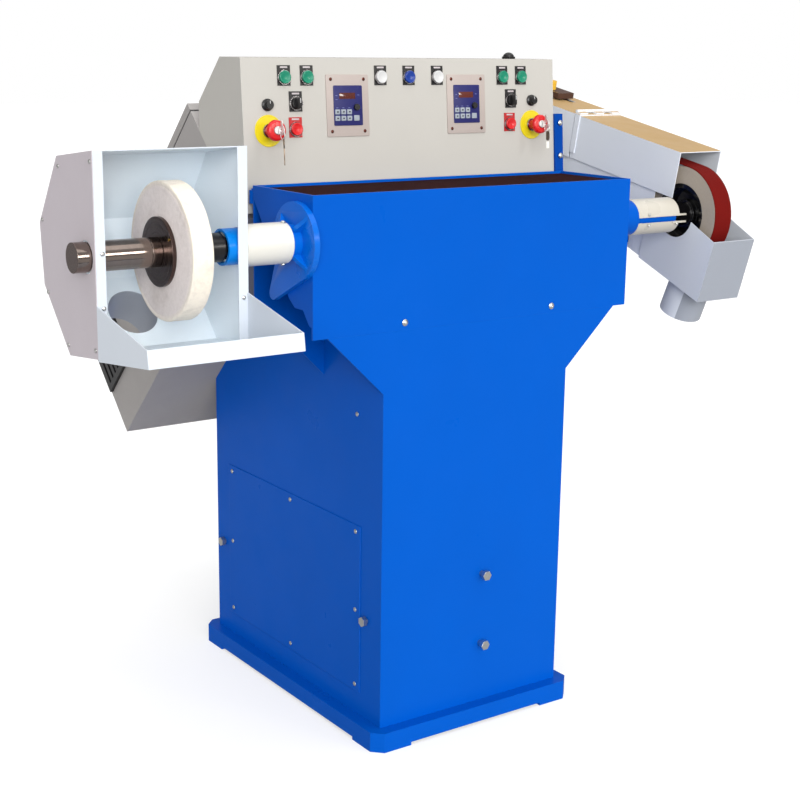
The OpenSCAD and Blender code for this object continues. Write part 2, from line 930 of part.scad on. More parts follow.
module estop(at) {
    color([0.85, 0.05, 0.05])
        on_panel(at) {
            translate([0, 0, estop_low])
                cylinder(r1 = estop_r, r2 = estop_r - 3, h = estop_high - estop_low);
            translate([0, 0, -10]) cylinder(r = stem_r, h = estop_low + 11);
            translate([0, 0, estop_high]) cylinder(r = 8, h = 2);
            // key in the lock
            translate([-1.2, -4, estop_high + 1]) cube([2.4, 8, 8]);
            translate([-1.2, -11, estop_high + 8]) cube([2.4, 22, 15]);
        }
}

module selector(at) {
    color(black)
        on_panel(at) {
            translate([0, 0, -10]) cylinder(r = stem_r, h = bezel_h + 10);
            translate([0, 0, bezel_h - 1]) cylinder(r = 11.8, h = 4);
            translate([-4, -11, bezel_h + 2]) cube([8, 22, 14]);
        }
}

module speed_knob(at) {
    color(black)
        on_panel(at) {
            translate([0, 0, -8]) cylinder(r = knob_shaft, h = 12);
            translate([0, 0, 0.5]) cylinder(r = 12.2, h = 5);
            translate([0, 0, 5]) cylinder(r = 9.5, h = 9);
        }
}

module green_button_1() { color([0.0, 0.55, 0.35]) push_button(green_at[0]); }
module green_button_2() { color([0.0, 0.55, 0.35]) push_button(green_at[1]); }
module green_button_3() { color([0.0, 0.55, 0.35]) push_button(green_at[2]); }
module green_button_4() { color([0.0, 0.55, 0.35]) push_button(green_at[3]); }
module white_button_1() { color([0.92, 0.92, 0.92]) push_button(white_at[0]); }
module white_button_2() { color([0.92, 0.92, 0.92]) push_button(white_at[1]); }
module blue_button() { color([0.0, 0.25, 0.65]) push_button(blue_at); }
module red_button_1() { color([0.85, 0.08, 0.06]) push_button(red_at[0]); }
module red_button_2() { color([0.85, 0.08, 0.06]) push_button(red_at[1]); }
module estop_left() { estop(estop_at[0]); }
module estop_right() { estop(estop_at[1]); }
module selector_left() { selector(selector_at[0]); }
module selector_right() { selector(selector_at[1]); }
module speed_knob_left() { speed_knob(knob_at[0]); }
module speed_knob_right() { speed_knob(knob_at[1]); }

// ---------- belt arm ----------

function low_at(u) = low_w0 + low_slope * u;

// open-topped trough under the belt, with its closed rear end
module arm_trough() {
    t = arm_sheet;
    color(sheet_white)
        on_arm()
            difference() {
                side_plate([[box_end - 10, low_at(box_end - 10) + t], [trough_end, low_at(trough_end) + t],
                            [trough_end, arm_top], [cover_u[1] + 30, arm_top],
                            [cover_u[1] + 30, arm_low + 6], [box_end - 10, arm_low + 6]],
                           arm_x[0] + 4, arm_x[1] - 4);
                side_plate([[box_end - 12, low_at(box_end - 12) + 2 * t],
                            [trough_end - t, low_at(trough_end - t) + 2 * t],
                            [trough_end - t, arm_top + 1], [box_end - 12, arm_top + 1]],
                           arm_x[0] + 4 + t, arm_x[1] - 4 - t);
            }
    color(sheet_white)
        on_arm()
            difference() {
                // guide block of the tension slide
                box([arm_x[0] + 4 + t, guide_u, idler_w - 25], [arm_x[1] - 4 - t, guide_u + 30, idler_w + 25]);
                translate([belt_mid, guide_u - 1, idler_w])
                    rotate([-90, 0, 0]) cylinder(r = guide_r + run_gap, h = 32);
            }
}

// inverted channel, drawn between two places along the arm
module channel(u0, u1, out) {
    t = arm_sheet;
    difference() {
        box([arm_x[0] - out, u0, arm_low], [arm_x[1] + out, u1, arm_top + out]);
        box([arm_x[0] - out + t, u0 - 1, arm_low - 1], [arm_x[1] + out - t, u1 + 1, arm_top + out - t]);
    }
}

module bar_x_local(r, x0, x1, u, w) {
    translate([x0, u, w])
        rotate([0, 90, 0]) cylinder(r = r, h = x1 - x0, $fn = fine);
}

// knuckles of the long hinge across the arm: every second fifth of its width from `first`
module hinge_knuckles(first, bore, side) {
    len = (arm_x[1] - arm_x[0]) / 5;
    for (i = [first : 2 : 4]) {
        x0 = arm_x[0] + len * i + 0.3;
        x1 = arm_x[0] + len * (i + 1) - 0.3;
        difference() {
            union() {
                bar_x_local(hinge_r, x0, x1, hinge_at[0], hinge_at[1]);
                box([x0, hinge_at[0] - (side < 0 ? 15 : 0), arm_top + 1],
                    [x1, hinge_at[0] + (side < 0 ? 0 : 15), hinge_at[1] - 1]);
            }
            bar_x_local(bore, arm_x[0] - 1, arm_x[1] + 1, hinge_at[0], hinge_at[1]);
        }
    }
}

module arm_guard() {
    color(sheet_white)
        on_arm()
            union() {
                difference() {
                    channel(cover_u[1] + cover_gap, trough_end + 4, 2);
                    // slot for the handle's stem
                    box([676, handle_u - 30, arm_top - 5], [692, handle_u + 20, arm_top + 5]);
                }
                difference() {
                    hinge_knuckles(1, hinge_pin - 0.5, 1);
                    box([arm_x[0] - 1, hinge_at[0] - 1, 0], [arm_x[1] + 1, cover_u[1] + cover_gap, arm_top + 3.2]);
                }
                bar_x_local(hinge_pin, arm_x[0] + 1, arm_x[1] - 1, hinge_at[0], hinge_at[1]);
                difference() {
                    box([arm_x[0] - 2, trough_end + 2, arm_low], [arm_x[1] + 2, trough_end + 4, arm_top]);
                    box([arm_x[0] + 20, trough_end, arm_low + 30], [arm_x[1] - 20, trough_end + 5, arm_top - 30]);
                }
            }
}

module arm_cover() {
    color(sheet_white)
        on_arm() {
            channel(cover_u[0], cover_u[1], 0);
            hinge_knuckles(0, hinge_pin + run_gap, -1);
            // stiffening lip at the rear of the cover
            difference() {
                box([arm_x[0] - 3, cover_u[1] - 16, arm_low + 14], [arm_x[1] + 3, cover_u[1], arm_top + 3]);
                box([arm_x[0], cover_u[1] - 17, arm_low], [arm_x[1], cover_u[1] + 1, arm_top]);
            }
        }
}

module dust_box() {
    t = arm_sheet;
    color(sheet_white)
        on_arm() {
            difference() {
                side_plate([[-118, low_at(-118)], [box_end, low_at(box_end)], [box_end, arm_low],
                            [22, arm_low], [-52, -4], [-131, -28]],
                           arm_x[0], arm_x[1]);
                side_plate([[-116, low_at(-116) + t], [box_end + 1, low_at(box_end) + t],
                            [box_end + 1, arm_low + 1], [20, arm_low + 1], [-52, 10], [-129, -20]],
                           arm_x[0] + t, arm_x[1] - t);
                rotate([-arm_tilt, 0, 0])
                    translate([arm_x[0] - 1, 0, 0])
                        rotate([0, 90, 0]) cylinder(r = 52, h = 140);
                box([arm_x[0] - 1, -40, 0], [arm_x[1] + 1, box_end + 1, arm_low + 1]);
                spout_core(spout_r - 2, 30);
            }
            difference() {
                spout_core(spout_r, 0);
                spout_core(spout_r - 2, 30);
            }
        }
}

// the spout leaves square to the dust box's sloping floor
module spout_core(r, extra) {
    floor_tilt = atan(low_slope);
    translate([arm_mid, -30, low_at(-30) + 1])
        rotate([floor_tilt, 0, 0])
            translate([0, 0, -spout_len]) translate([0, 0, -extra]) cylinder(r = r, h = spout_len + 2 * extra);
}

// solid that fills the belt's loop: the large contact wheel, the small idler and the runs
module belt_body(grow, x0, x1) {
    r0 = contact_r + belt_gap + grow;
    r1 = idler_r + belt_gap + grow;
    to = [arm_len, idler_w];
    slope = atan2(to[1], to[0]);
    half = asin((r0 - r1) / norm(to));
    up = slope + 90 - half;
    down = slope - 90 + half;
    bar_x_local(r0, x0, x1, 0, 0);
    bar_x_local(r1, x0, x1, to[0], to[1]);
    side_plate([[0, 0], r0 * [cos(up), sin(up)], to + r1 * [cos(up), sin(up)], to,
                to + r1 * [cos(down), sin(down)], r0 * [cos(down), sin(down)]], x0, x1);
}

module abrasive_belt() {
    color([0.42, 0.12, 0.08])
        on_arm()
            difference() {
                belt_body(belt_t, contact_face, contact_face + belt_w);
                belt_body(0, contact_face - 1, contact_face + belt_w + 1);
            }
}

module idler_wheel() {
    color(steel)
        on_arm()
            difference() {
                bar_x(idler_r, contact_face - 1, contact_face + belt_w + 1, arm_len, idler_w);
                bar_x(10 + run_gap, contact_face - 2, contact_face + belt_w + 2, arm_len, idler_w);
            }
}

// sliding fork with the idler's axle, its guide rod and the handle above the guard
module tension_slide() {
    x0 = contact_face - 6.5;
    x1 = contact_face + belt_w + 6.5;
    color([0.25, 0.17, 0.12])
        on_arm() {
            bar_x_local(10, x0, x1, arm_len, idler_w);
            for (x = [x0, x1 - 4])
                box([x, arm_len - 80, idler_w - 16], [x + 4, arm_len + 14, idler_w + 16]);
            box([x0, arm_len - 84, idler_w - 16], [x1, arm_len - 78, idler_w + 16]);
            translate([belt_mid, handle_u + 8, idler_w])
                rotate([-90, 0, 0]) cylinder(r = guide_r, h = arm_len - 82 - handle_u - 8);
            box([belt_mid - 8, handle_u, idler_w - 10], [690, handle_u + 16, idler_w + 10]);
            box([678, handle_u, idler_w], [690, handle_u + 16, arm_top + 8]);
            box([648, handle_u - 10, arm_top + 6], [698, handle_u + 62, arm_top + 20]);
            translate([664, handle_u + 40, arm_top + 19]) cylinder(r = 12, h = 22);
        }
}

base_plate();
column_shell();
head_cover();
top_mat();
access_panel();
pedestal_screws();
guard_screws();
jacking_bolts();
left_spindle_housing();
right_spindle_housing();
left_tube_guard();
right_tube_guard();
spindle_bearings();
left_motor();
right_motor();
drive_belts();
hood_shell();
hood_side_panel();
hood_tray();
hood_duct();
cabinet_shell();
cabinet_fittings();
cabinet_equipment();
console_box();
support_brackets();
legend_plates();
estop_discs();
drive_keypads();
arm_trough();
arm_guard();
dust_box();
abrasive_belt();
left_shaft();
buff_wheel();
left_spindle_pulley();
left_motor_pulley();
right_shaft();
contact_hub();
contact_tyre();
right_spindle_pulley();
right_motor_pulley();
idler_wheel();
tension_slide();
cabinet_door();
arm_cover();
green_button_1();
green_button_2();
green_button_3();
green_button_4();
white_button_1();
white_button_2();
blue_button();
red_button_1();
red_button_2();
estop_left();
estop_right();
selector_left();
selector_right();
speed_knob_left();
speed_knob_right();
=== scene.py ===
import json
import math

import bmesh
import bpy
from mathutils import Matrix, Vector, noise


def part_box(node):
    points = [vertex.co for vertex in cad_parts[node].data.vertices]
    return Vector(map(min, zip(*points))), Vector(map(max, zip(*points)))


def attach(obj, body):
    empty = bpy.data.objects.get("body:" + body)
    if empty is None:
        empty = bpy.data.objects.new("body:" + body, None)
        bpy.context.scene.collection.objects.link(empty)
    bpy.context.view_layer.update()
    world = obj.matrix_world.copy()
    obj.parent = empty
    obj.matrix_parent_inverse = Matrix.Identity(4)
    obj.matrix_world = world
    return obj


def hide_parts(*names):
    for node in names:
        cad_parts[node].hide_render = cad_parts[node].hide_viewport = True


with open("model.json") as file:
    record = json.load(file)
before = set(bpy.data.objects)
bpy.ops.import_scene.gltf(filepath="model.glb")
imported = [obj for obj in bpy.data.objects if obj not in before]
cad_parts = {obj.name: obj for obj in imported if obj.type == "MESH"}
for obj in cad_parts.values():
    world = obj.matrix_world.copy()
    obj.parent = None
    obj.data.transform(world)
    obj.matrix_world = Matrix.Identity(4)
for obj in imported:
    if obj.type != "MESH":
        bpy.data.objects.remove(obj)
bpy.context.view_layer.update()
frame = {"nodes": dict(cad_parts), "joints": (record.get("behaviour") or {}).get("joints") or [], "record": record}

RECORD = frame["record"]
NODES = frame["nodes"]
JOINTS = {joint["name"]: joint for joint in frame["joints"]}
BODY_OF = {node: body for body, nodes in RECORD["behaviour"]["bodies"].items() for node in nodes}
MM = 0.001
ACROSS = Vector((1, 0, 0))
SHARP_DEGREES = 32


# ---------- places ----------

def joint_point(name):
    return Vector(JOINTS[name]["pos_m"])


def joint_axis(name):
    return Vector(JOINTS[name]["axis"]).normalized()


def place(origin, out, right=ACROSS):
    """Matrix with its origin there, local Z along out and local X as near right as it can be."""
    z = out.normalized()
    x = (right - z * right.dot(z)).normalized()
    turned = Matrix((x, z.cross(x), z)).transposed().to_4x4()
    turned.translation = origin
    return turned


def shift(x, y, z):
    return Matrix.Translation((x, y, z))


def turn(degrees, axis):
    return Matrix.Rotation(math.radians(degrees), 4, axis)


PANEL_OUT = -joint_axis("blue_button_press")
PANEL_POINT = joint_point("selector_left_turn")


def on_panel(x, z):
    """Place on the console's front panel at that x and height, local Z out of the panel."""
    y = PANEL_POINT.y - PANEL_OUT.z * (z - PANEL_POINT.z) / PANEL_OUT.y
    return place(Vector((x, y, z)), PANEL_OUT)


def middle(node):
    low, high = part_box(node)
    return (low + high) / 2


def control_at(node):
    """Place of a push button, from the middle of its solid, which lies half a millimetre inside."""
    at = middle(node) + PANEL_OUT * 0.5 * MM
    return on_panel(at.x, at.z)


# ---------- meshes ----------

def turned(profile, steps=64):
    """Solid turned about Z from (radius, height) points; it closes where the radius is nothing."""
    bm = bmesh.new()
    rim = [bm.verts.new((radius, 0, height)) for radius, height in profile]
    line = [bm.edges.new(pair) for pair in zip(rim, rim[1:])]
    bmesh.ops.spin(bm, geom=rim + line, cent=(0, 0, 0), axis=(0, 0, 1), angle=math.tau,
                   steps=steps, use_merge=True)
    bmesh.ops.remove_doubles(bm, verts=bm.verts, dist=1e-6)
    bmesh.ops.recalc_face_normals(bm, faces=bm.faces)
    return bm


def ring(profile, steps=64):
    """Ring turned about Z from a closed loop of (radius, height) points."""
    return turned(profile + profile[:1], steps)


def block(size, edge=0.5 * MM, segments=2):
    """Box standing on Z = 0 with rounded edges."""
    bm = bmesh.new()
    bmesh.ops.create_cube(bm, size=1.0)
    bmesh.ops.translate(bm, vec=(0, 0, 0.5), verts=bm.verts)
    bmesh.ops.scale(bm, vec=size, verts=bm.verts)
    bmesh.ops.bevel(bm, geom=bm.edges[:], offset=edge, offset_type="OFFSET", segments=segments,
                    profile=0.5, affect="EDGES", clamp_overlap=True, material=-1)
    return bm


def plate(width, height, thick, corner, edge=0.3 * MM):
    """Flat plate standing on Z = 0 with round corners and softened edges."""
    bm = bmesh.new()
    bmesh.ops.create_cube(bm, size=1.0)
    bmesh.ops.translate(bm, vec=(0, 0, 0.5), verts=bm.verts)
    bmesh.ops.scale(bm, vec=(width, height, thick), verts=bm.verts)
    upright = [e for e in bm.edges if abs((e.verts[0].co - e.verts[1].co).z) > thick / 2]
    bmesh.ops.bevel(bm, geom=upright, offset=corner, offset_type="OFFSET", segments=5,
                    profile=0.5, affect="EDGES", clamp_overlap=True, material=-1)
    top = [e for e in bm.edges if all(v.co.z > thick * 0.99 for v in e.verts)]
    bmesh.ops.bevel(bm, geom=top, offset=edge, offset_type="OFFSET", segments=2,
                    profile=0.5, affect="EDGES", clamp_overlap=True, material=-1)
    return bm


def arc(radius, start, end, steps, centre=(0.0, 0.0)):
    """Points of a round stretch of a profile, angles in degrees."""
    points = []
    for i in range(steps + 1):
        angle = math.radians(start + (end - start) * i / steps)
        points.append((centre[0] + radius * math.cos(angle), centre[1] + radius * math.sin(angle)))
    return points


def gather(parts):
    """One mesh from (mesh, place) pairs."""
    whole = bmesh.new()
    for part, where in parts:
        bmesh.ops.transform(part, matrix=where, verts=part.verts)
        loose = bpy.data.meshes.new("loose")
        part.to_mesh(loose)
        part.free()
        whole.from_mesh(loose)
        bpy.data.meshes.remove(loose)
    return whole


def repeat(make, places):
    return gather([(make(), where) for where in places])


def smooth(bm, sharp):
    for face in bm.faces:
        face.smooth = True
    for edge in bm.edges:
        edge.smooth = edge.calc_face_angle(0.0) < math.radians(sharp)


def piece(name, bm, finish, near, stands_for=(), sharp=SHARP_DEGREES):
    """Finished piece on the body that carries the node `near`."""
    smooth(bm, sharp)
    mesh = bpy.data.meshes.new(name)
    bm.to_mesh(mesh)
    bm.free()
    for material in finish if isinstance(finish, (list, tuple)) else [finish]:
        mesh.materials.append(material)
    obj = bpy.data.objects.new(name, mesh)
    bpy.context.scene.collection.objects.link(obj)
    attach(obj, BODY_OF[near])
    if stands_for:
        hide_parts(*stands_for)
    return obj


def merged_copy(node):
    bm = bmesh.new()
    bm.from_mesh(NODES[node].data)
    bmesh.ops.remove_doubles(bm, verts=bm.verts, dist=2e-6)
    bmesh.ops.dissolve_limit(bm, angle_limit=math.radians(0.6), use_dissolve_boundaries=False,
                             verts=bm.verts, edges=bm.edges, delimit=set())
    return bm


def rounded(obj, width):
    """Rounded edges as a live bevel, with the flat faces kept flat."""
    bevel = obj.modifiers.new("rounded edges", "BEVEL")
    bevel.width = width
    bevel.segments = 2
    bevel.limit_method = "ANGLE"
    bevel.angle_limit = math.radians(SHARP_DEGREES)
    bevel.use_clamp_overlap = True
    bevel.harden_normals = True


def folded(node, finish, edge, pick=None):
    """The node's own shape with rounded edges; pick gives a face's material number."""
    bm = merged_copy(node)
    if pick:
        for face in bm.faces:
            face.material_index = pick(face)
    rounded(piece(node + "_finished", bm, finish, node, stands_for=(node,)), edge)


# ---------- shader groups ----------

def new_group(name, inputs, outputs):
    tree = bpy.data.node_groups.new(name, "ShaderNodeTree")
    for label, kind, value in inputs:
        socket = tree.interface.new_socket(label, in_out="INPUT", socket_type=kind)
        if value is not None:
            socket.default_value = value
    for label, kind in outputs:
        tree.interface.new_socket(label, in_out="OUTPUT", socket_type=kind)
    return tree, tree.nodes.new("NodeGroupInput"), tree.nodes.new("NodeGroupOutput")


FLOAT, COLOUR, VECTOR = "NodeSocketFloat", "NodeSocketColor", "NodeSocketVector"


def add(tree, kind, links=(), **settings):
    """New node; links are (input name or number, source socket or plain value) pairs."""
    node = tree.nodes.new(kind)
    for key, value in settings.items():
        setattr(node, key, value)
    for key, value in links:
        if isinstance(value, bpy.types.NodeSocket):
            tree.links.new(value, node.inputs[key])
        else:
            node.inputs[key].default_value = value
    return node


def maths(tree, operation, a, b=0.0, clamp=False):
    node = add(tree, "ShaderNodeMath", [(0, a), (1, b)], operation=operation, use_clamp=clamp)
    return node.outputs[0]


def spread(tree, value, low, high, to_low=0.0, to_high=1.0):
    node = add(tree, "ShaderNodeMapRange", [(0, value), (1, low), (2, high), (3, to_low), (4, to_high)])
    return node.outputs[0]


def blend(tree, factor, a, b):
    node = add(tree, "ShaderNodeMix", data_type="RGBA")
    for key, value in ((0, factor), (6, a), (7, b)):
        if isinstance(value, bpy.types.NodeSocket):
            tree.links.new(value, node.inputs[key])
        else:
            node.inputs[key].default_value = value
    return node.outputs[2]


def cloud(tree, where, size, detail=3.0, rough=0.55):
    node = add(tree, "ShaderNodeTexNoise", [("Vector", where), ("Scale", 1.0 / size),
                                           ("Detail", detail), ("Roughness", rough)])
    return node.outputs["Fac"]


def build_tone():
    """Slow cloudiness and fine specks between a coat's colour and its shade."""
    tree, got, out = new_group("coat tone", [("Where", VECTOR, None), ("Colour", COLOUR, (1, 1, 1, 1)),
                                            ("Shade", COLOUR, (0.5, 0.5, 0.5, 1)), ("Amount", FLOAT, 0.5)],
                               [("Colour", COLOUR), ("Mask", FLOAT)])
    slow = spread(tree, cloud(tree, got.outputs["Where"], 0.22), 0.32, 0.72)
    fine = spread(tree, cloud(tree, got.outputs["Where"], 0.006, 5.0, 0.65), 0.42, 0.75)
    mask = maths(tree, "ADD", maths(tree, "MULTIPLY", slow, 0.75), maths(tree, "MULTIPLY", fine, 0.25), True)
    mask = maths(tree, "MULTIPLY", mask, got.outputs["Amount"])
    tree.links.new(blend(tree, mask, got.outputs["Colour"], got.outputs["Shade"]), out.inputs["Colour"])
    tree.links.new(mask, out.inputs["Mask"])
    return tree


def build_peel():
    """Orange-peel relief of a sprayed coat, with dust nibs."""
    tree, got, out = new_group("coat relief", [("Where", VECTOR, None), ("Size", FLOAT, 0.003)],
                               [("Height", FLOAT)])
    where = add(tree, "ShaderNodeVectorMath", [(0, got.outputs["Where"]), (1, got.outputs["Size"])],
                operation="DIVIDE").outputs[0]
    peel = add(tree, "ShaderNodeTexNoise",
               [("Vector", where), ("Scale", 1.0), ("Detail", 2.0)]).outputs["Fac"]
    nibs = add(tree, "ShaderNodeTexVoronoi", [("Vector", where), ("Scale", 0.12)]).outputs["Distance"]
    nib = spread(tree, nibs, 0.0, 0.09, 0.5, 0.0)
    tree.links.new(maths(tree, "ADD", peel, nib), out.inputs["Height"])
    return tree


def build_wear():
    """Mask of rubbed edges, broken up by noise."""
    tree, got, out = new_group("rubbed edges", [("Where", VECTOR, None), ("Width", FLOAT, 0.0015)],
                               [("Mask", FLOAT)])
    soft = add(tree, "ShaderNodeBevel", [("Radius", got.outputs["Width"])], samples=4).outputs[0]
    face = add(tree, "ShaderNodeNewGeometry").outputs["True Normal"]
    even = add(tree, "ShaderNodeVectorMath", [(0, soft), (1, face)], operation="DOT_PRODUCT").outputs["Value"]
    edge = spread(tree, even, 0.995, 0.90)
    broken = spread(tree, cloud(tree, got.outputs["Where"], 0.012, 4.0, 0.7), 0.50, 0.66)
    tree.links.new(maths(tree, "MULTIPLY", edge, broken, True), out.inputs["Mask"])
    return tree


def build_lathe():
    """Fine rings left by turning about the X axis through the origin of Where."""
    tree, got, out = new_group("turning marks", [("Where", VECTOR, None), ("Pitch", FLOAT, 0.0006)],
                               [("Height", FLOAT), ("Band", FLOAT)])
    parts = add(tree, "ShaderNodeSeparateXYZ", [(0, got.outputs["Where"])])
    square = maths(tree, "ADD", maths(tree, "MULTIPLY", parts.outputs[1], parts.outputs[1]),
                   maths(tree, "MULTIPLY", parts.outputs[2], parts.outputs[2]))
    radius = maths(tree, "SQRT", square)
    flat = add(tree, "ShaderNodeCombineXYZ", [(0, parts.outputs[0]), (1, radius)]).outputs[0]
    flat = add(tree, "ShaderNodeVectorMath", [(0, flat), (1, got.outputs["Pitch"])],
               operation="DIVIDE").outputs[0]
    fine = add(tree, "ShaderNodeTexNoise", [("Vector", flat), ("Scale", 1.0), ("Detail", 3.0)]).outputs["Fac"]
    wide = add(tree, "ShaderNodeTexNoise",
               [("Vector", flat), ("Scale", 0.06), ("Detail", 2.0)]).outputs["Fac"]
    tree.links.new(fine, out.inputs["Height"])
    tree.links.new(wide, out.inputs["Band"])
    return tree


TONE = build_tone()
PEEL = build_peel()
WEAR = build_wear()
LATHE = build_lathe()


# ---------- materials ----------

def swatch(red, green, blue):
    """Linear colour of a paint swatch given in 0..255."""
    def linear(value):
        value /= 255
        return value / 12.92 if value <= 0.04045 else ((value + 0.055) / 1.055) ** 2.4
    return (linear(red), linear(green), linear(blue), 1.0)


def darker(colour, by):
    return tuple(channel * by for channel in colour[:3]) + (1.0,)


class Finish:
    """A new material with its shader, its object coordinates and helpers that join them."""

    def __init__(self, name, rough=0.4, metal=0.0, coat=0.0, specular=0.5, centre=None):
        self.material = bpy.data.materials.new(name)
        self.material.use_nodes = True
        self.tree = self.material.node_tree
        self.tree.nodes.clear()
        self.shader = add(self.tree, "ShaderNodeBsdfPrincipled")
        self.shader.inputs["Roughness"].default_value = rough
        self.shader.inputs["Metallic"].default_value = metal
        self.shader.inputs["Coat Weight"].default_value = coat
        self.shader.inputs["Coat Roughness"].default_value = 0.12
        self.shader.inputs["Specular IOR Level"].default_value = specular
        out = add(self.tree, "ShaderNodeOutputMaterial")
        self.tree.links.new(self.shader.outputs[0], out.inputs[0])
        self.where = add(self.tree, "ShaderNodeTexCoord").outputs["Object"]
        if centre is not None:
            moved = add(self.tree, "ShaderNodeMapping", [("Vector", self.where)])
            moved.inputs["Location"].default_value = [-value for value in centre]
            self.where = moved.outputs[0]

    def group(self, tree, **values):
        node = add(self.tree, "ShaderNodeGroup", node_tree=tree)
        self.tree.links.new(self.where, node.inputs["Where"])
        for key, value in values.items():
            if isinstance(value, bpy.types.NodeSocket):
                self.tree.links.new(value, node.inputs[key])
            else:
                node.inputs[key].default_value = value
        return node

    def set(self, socket, source):
        self.tree.links.new(source, self.shader.inputs[socket])

    def relief(self, height, distance, strength=1.0):
        bump = add(self.tree, "ShaderNodeBump", [("Height", height), ("Distance", distance),
                                                ("Strength", strength)])
        self.set("Normal", bump.outputs[0])


def paint(name, colour, rough=0.28, coat=0.3, amount=0.35, peel=0.0035, peel_depth=0.00006,
          bare=None, wear=0.6, specular=0.35):
    """Sprayed coat: cloudy tone, orange peel, and edges rubbed towards a lighter undercoat."""
    look = Finish(name, rough=rough, coat=coat, specular=specular)
    tone = look.group(TONE, Colour=colour, Shade=darker(colour, 0.72), Amount=amount)
    edges = look.group(WEAR).outputs["Mask"]
    bare = bare or tuple(min(1.0, channel * 0.6 + 0.35) for channel in colour[:3]) + (1.0,)
    worn = maths(look.tree, "MULTIPLY", edges, wear)
    look.set("Base Color", blend(look.tree, worn, tone.outputs["Colour"], bare))
    smear = spread(look.tree, cloud(look.tree, look.where, 0.09, 4.0), 0.3, 0.75, rough * 0.8, rough * 1.35)
    look.set("Roughness", maths(look.tree, "ADD", smear, maths(look.tree, "MULTIPLY", worn, 0.2), True))
    look.relief(look.group(PEEL, Size=peel).outputs["Height"], peel_depth)
    return look.material


def turned_metal(name, colour, rough, centre, pitch=0.0007):
    """Machined steel with rings round its axis and a thin oily stain."""
    look = Finish(name, rough=rough, metal=1.0, centre=centre)
    rings = look.group(LATHE, Pitch=pitch)
    tone = look.group(TONE, Colour=colour, Shade=darker(colour, 0.55), Amount=0.5)
    band = spread(look.tree, rings.outputs["Band"], 0.35, 0.65)
    look.set("Base Color", blend(look.tree, maths(look.tree, "MULTIPLY", band, 0.35),
                                 tone.outputs["Colour"], darker(colour, 0.7)))
    look.set("Roughness", spread(look.tree, rings.outputs["Height"], 0.3, 0.7, rough * 0.75, rough * 1.4))
    look.relief(rings.outputs["Height"], 0.00004, 0.6)
    return look.material


def plain_metal(name, colour, rough=0.3):
    """Zinc-plated or cast metal with fine mottling."""
    look = Finish(name, rough=rough, metal=1.0)
    tone = look.group(TONE, Colour=colour, Shade=darker(colour, 0.6), Amount=0.6)
    look.set("Base Color", tone.outputs["Colour"])
    look.set("Roughness", spread(look.tree, tone.outputs["Mask"], 0.0, 0.6, rough * 0.8, rough * 1.5))
    look.relief(cloud(look.tree, look.where, 0.0012, 3.0), 0.00005)
    return look.material


def moulded(name, colour, rough=0.35, grain=0.0008, coat=0.0):
    """Moulded plastic with fine spark texture and slight handling marks."""
    look = Finish(name, rough=rough, coat=coat)
    tone = look.group(TONE, Colour=colour, Shade=darker(colour, 0.75), Amount=0.45)
    edges = look.group(WEAR, Width=0.0006).outputs["Mask"]
    light = tuple(channel * 0.75 + 0.22 for channel in colour[:3]) + (1.0,)
    look.set("Base Color", blend(look.tree, maths(look.tree, "MULTIPLY", edges, 0.35),
                                 tone.outputs["Colour"], light))
    look.set("Roughness", spread(look.tree, tone.outputs["Mask"], 0.0, 0.45, rough * 0.85, rough * 1.3))
    look.relief(cloud(look.tree, look.where, grain, 2.0), 0.00003)
    return look.material


def ribbed_rubber(name, colour):
    """Black-brown rubber with fine lengthwise ribs and ground-in grit."""
    look = Finish(name, rough=0.85, specular=0.04)
    tone = look.group(TONE, Colour=colour, Shade=darker(colour, 0.5), Amount=0.8)
    ribs = add(look.tree, "ShaderNodeTexWave", [("Vector", look.where), ("Scale", 55.0),
                                              ("Distortion", 0.4), ("Detail", 1.0)],
               bands_direction="Y").outputs["Fac"]
    grit = spread(look.tree, cloud(look.tree, look.where, 0.0025, 4.0, 0.7), 0.62, 0.75)
    pale = tuple(channel * 0.6 + 0.16 for channel in colour[:3]) + (1.0,)
    look.set("Base Color", blend(look.tree, maths(look.tree, "MULTIPLY", grit, 0.35),
                                 tone.outputs["Colour"], pale))
    look.relief(maths(look.tree, "ADD", ribs, grit), 0.0004, 0.7)
    return look.material


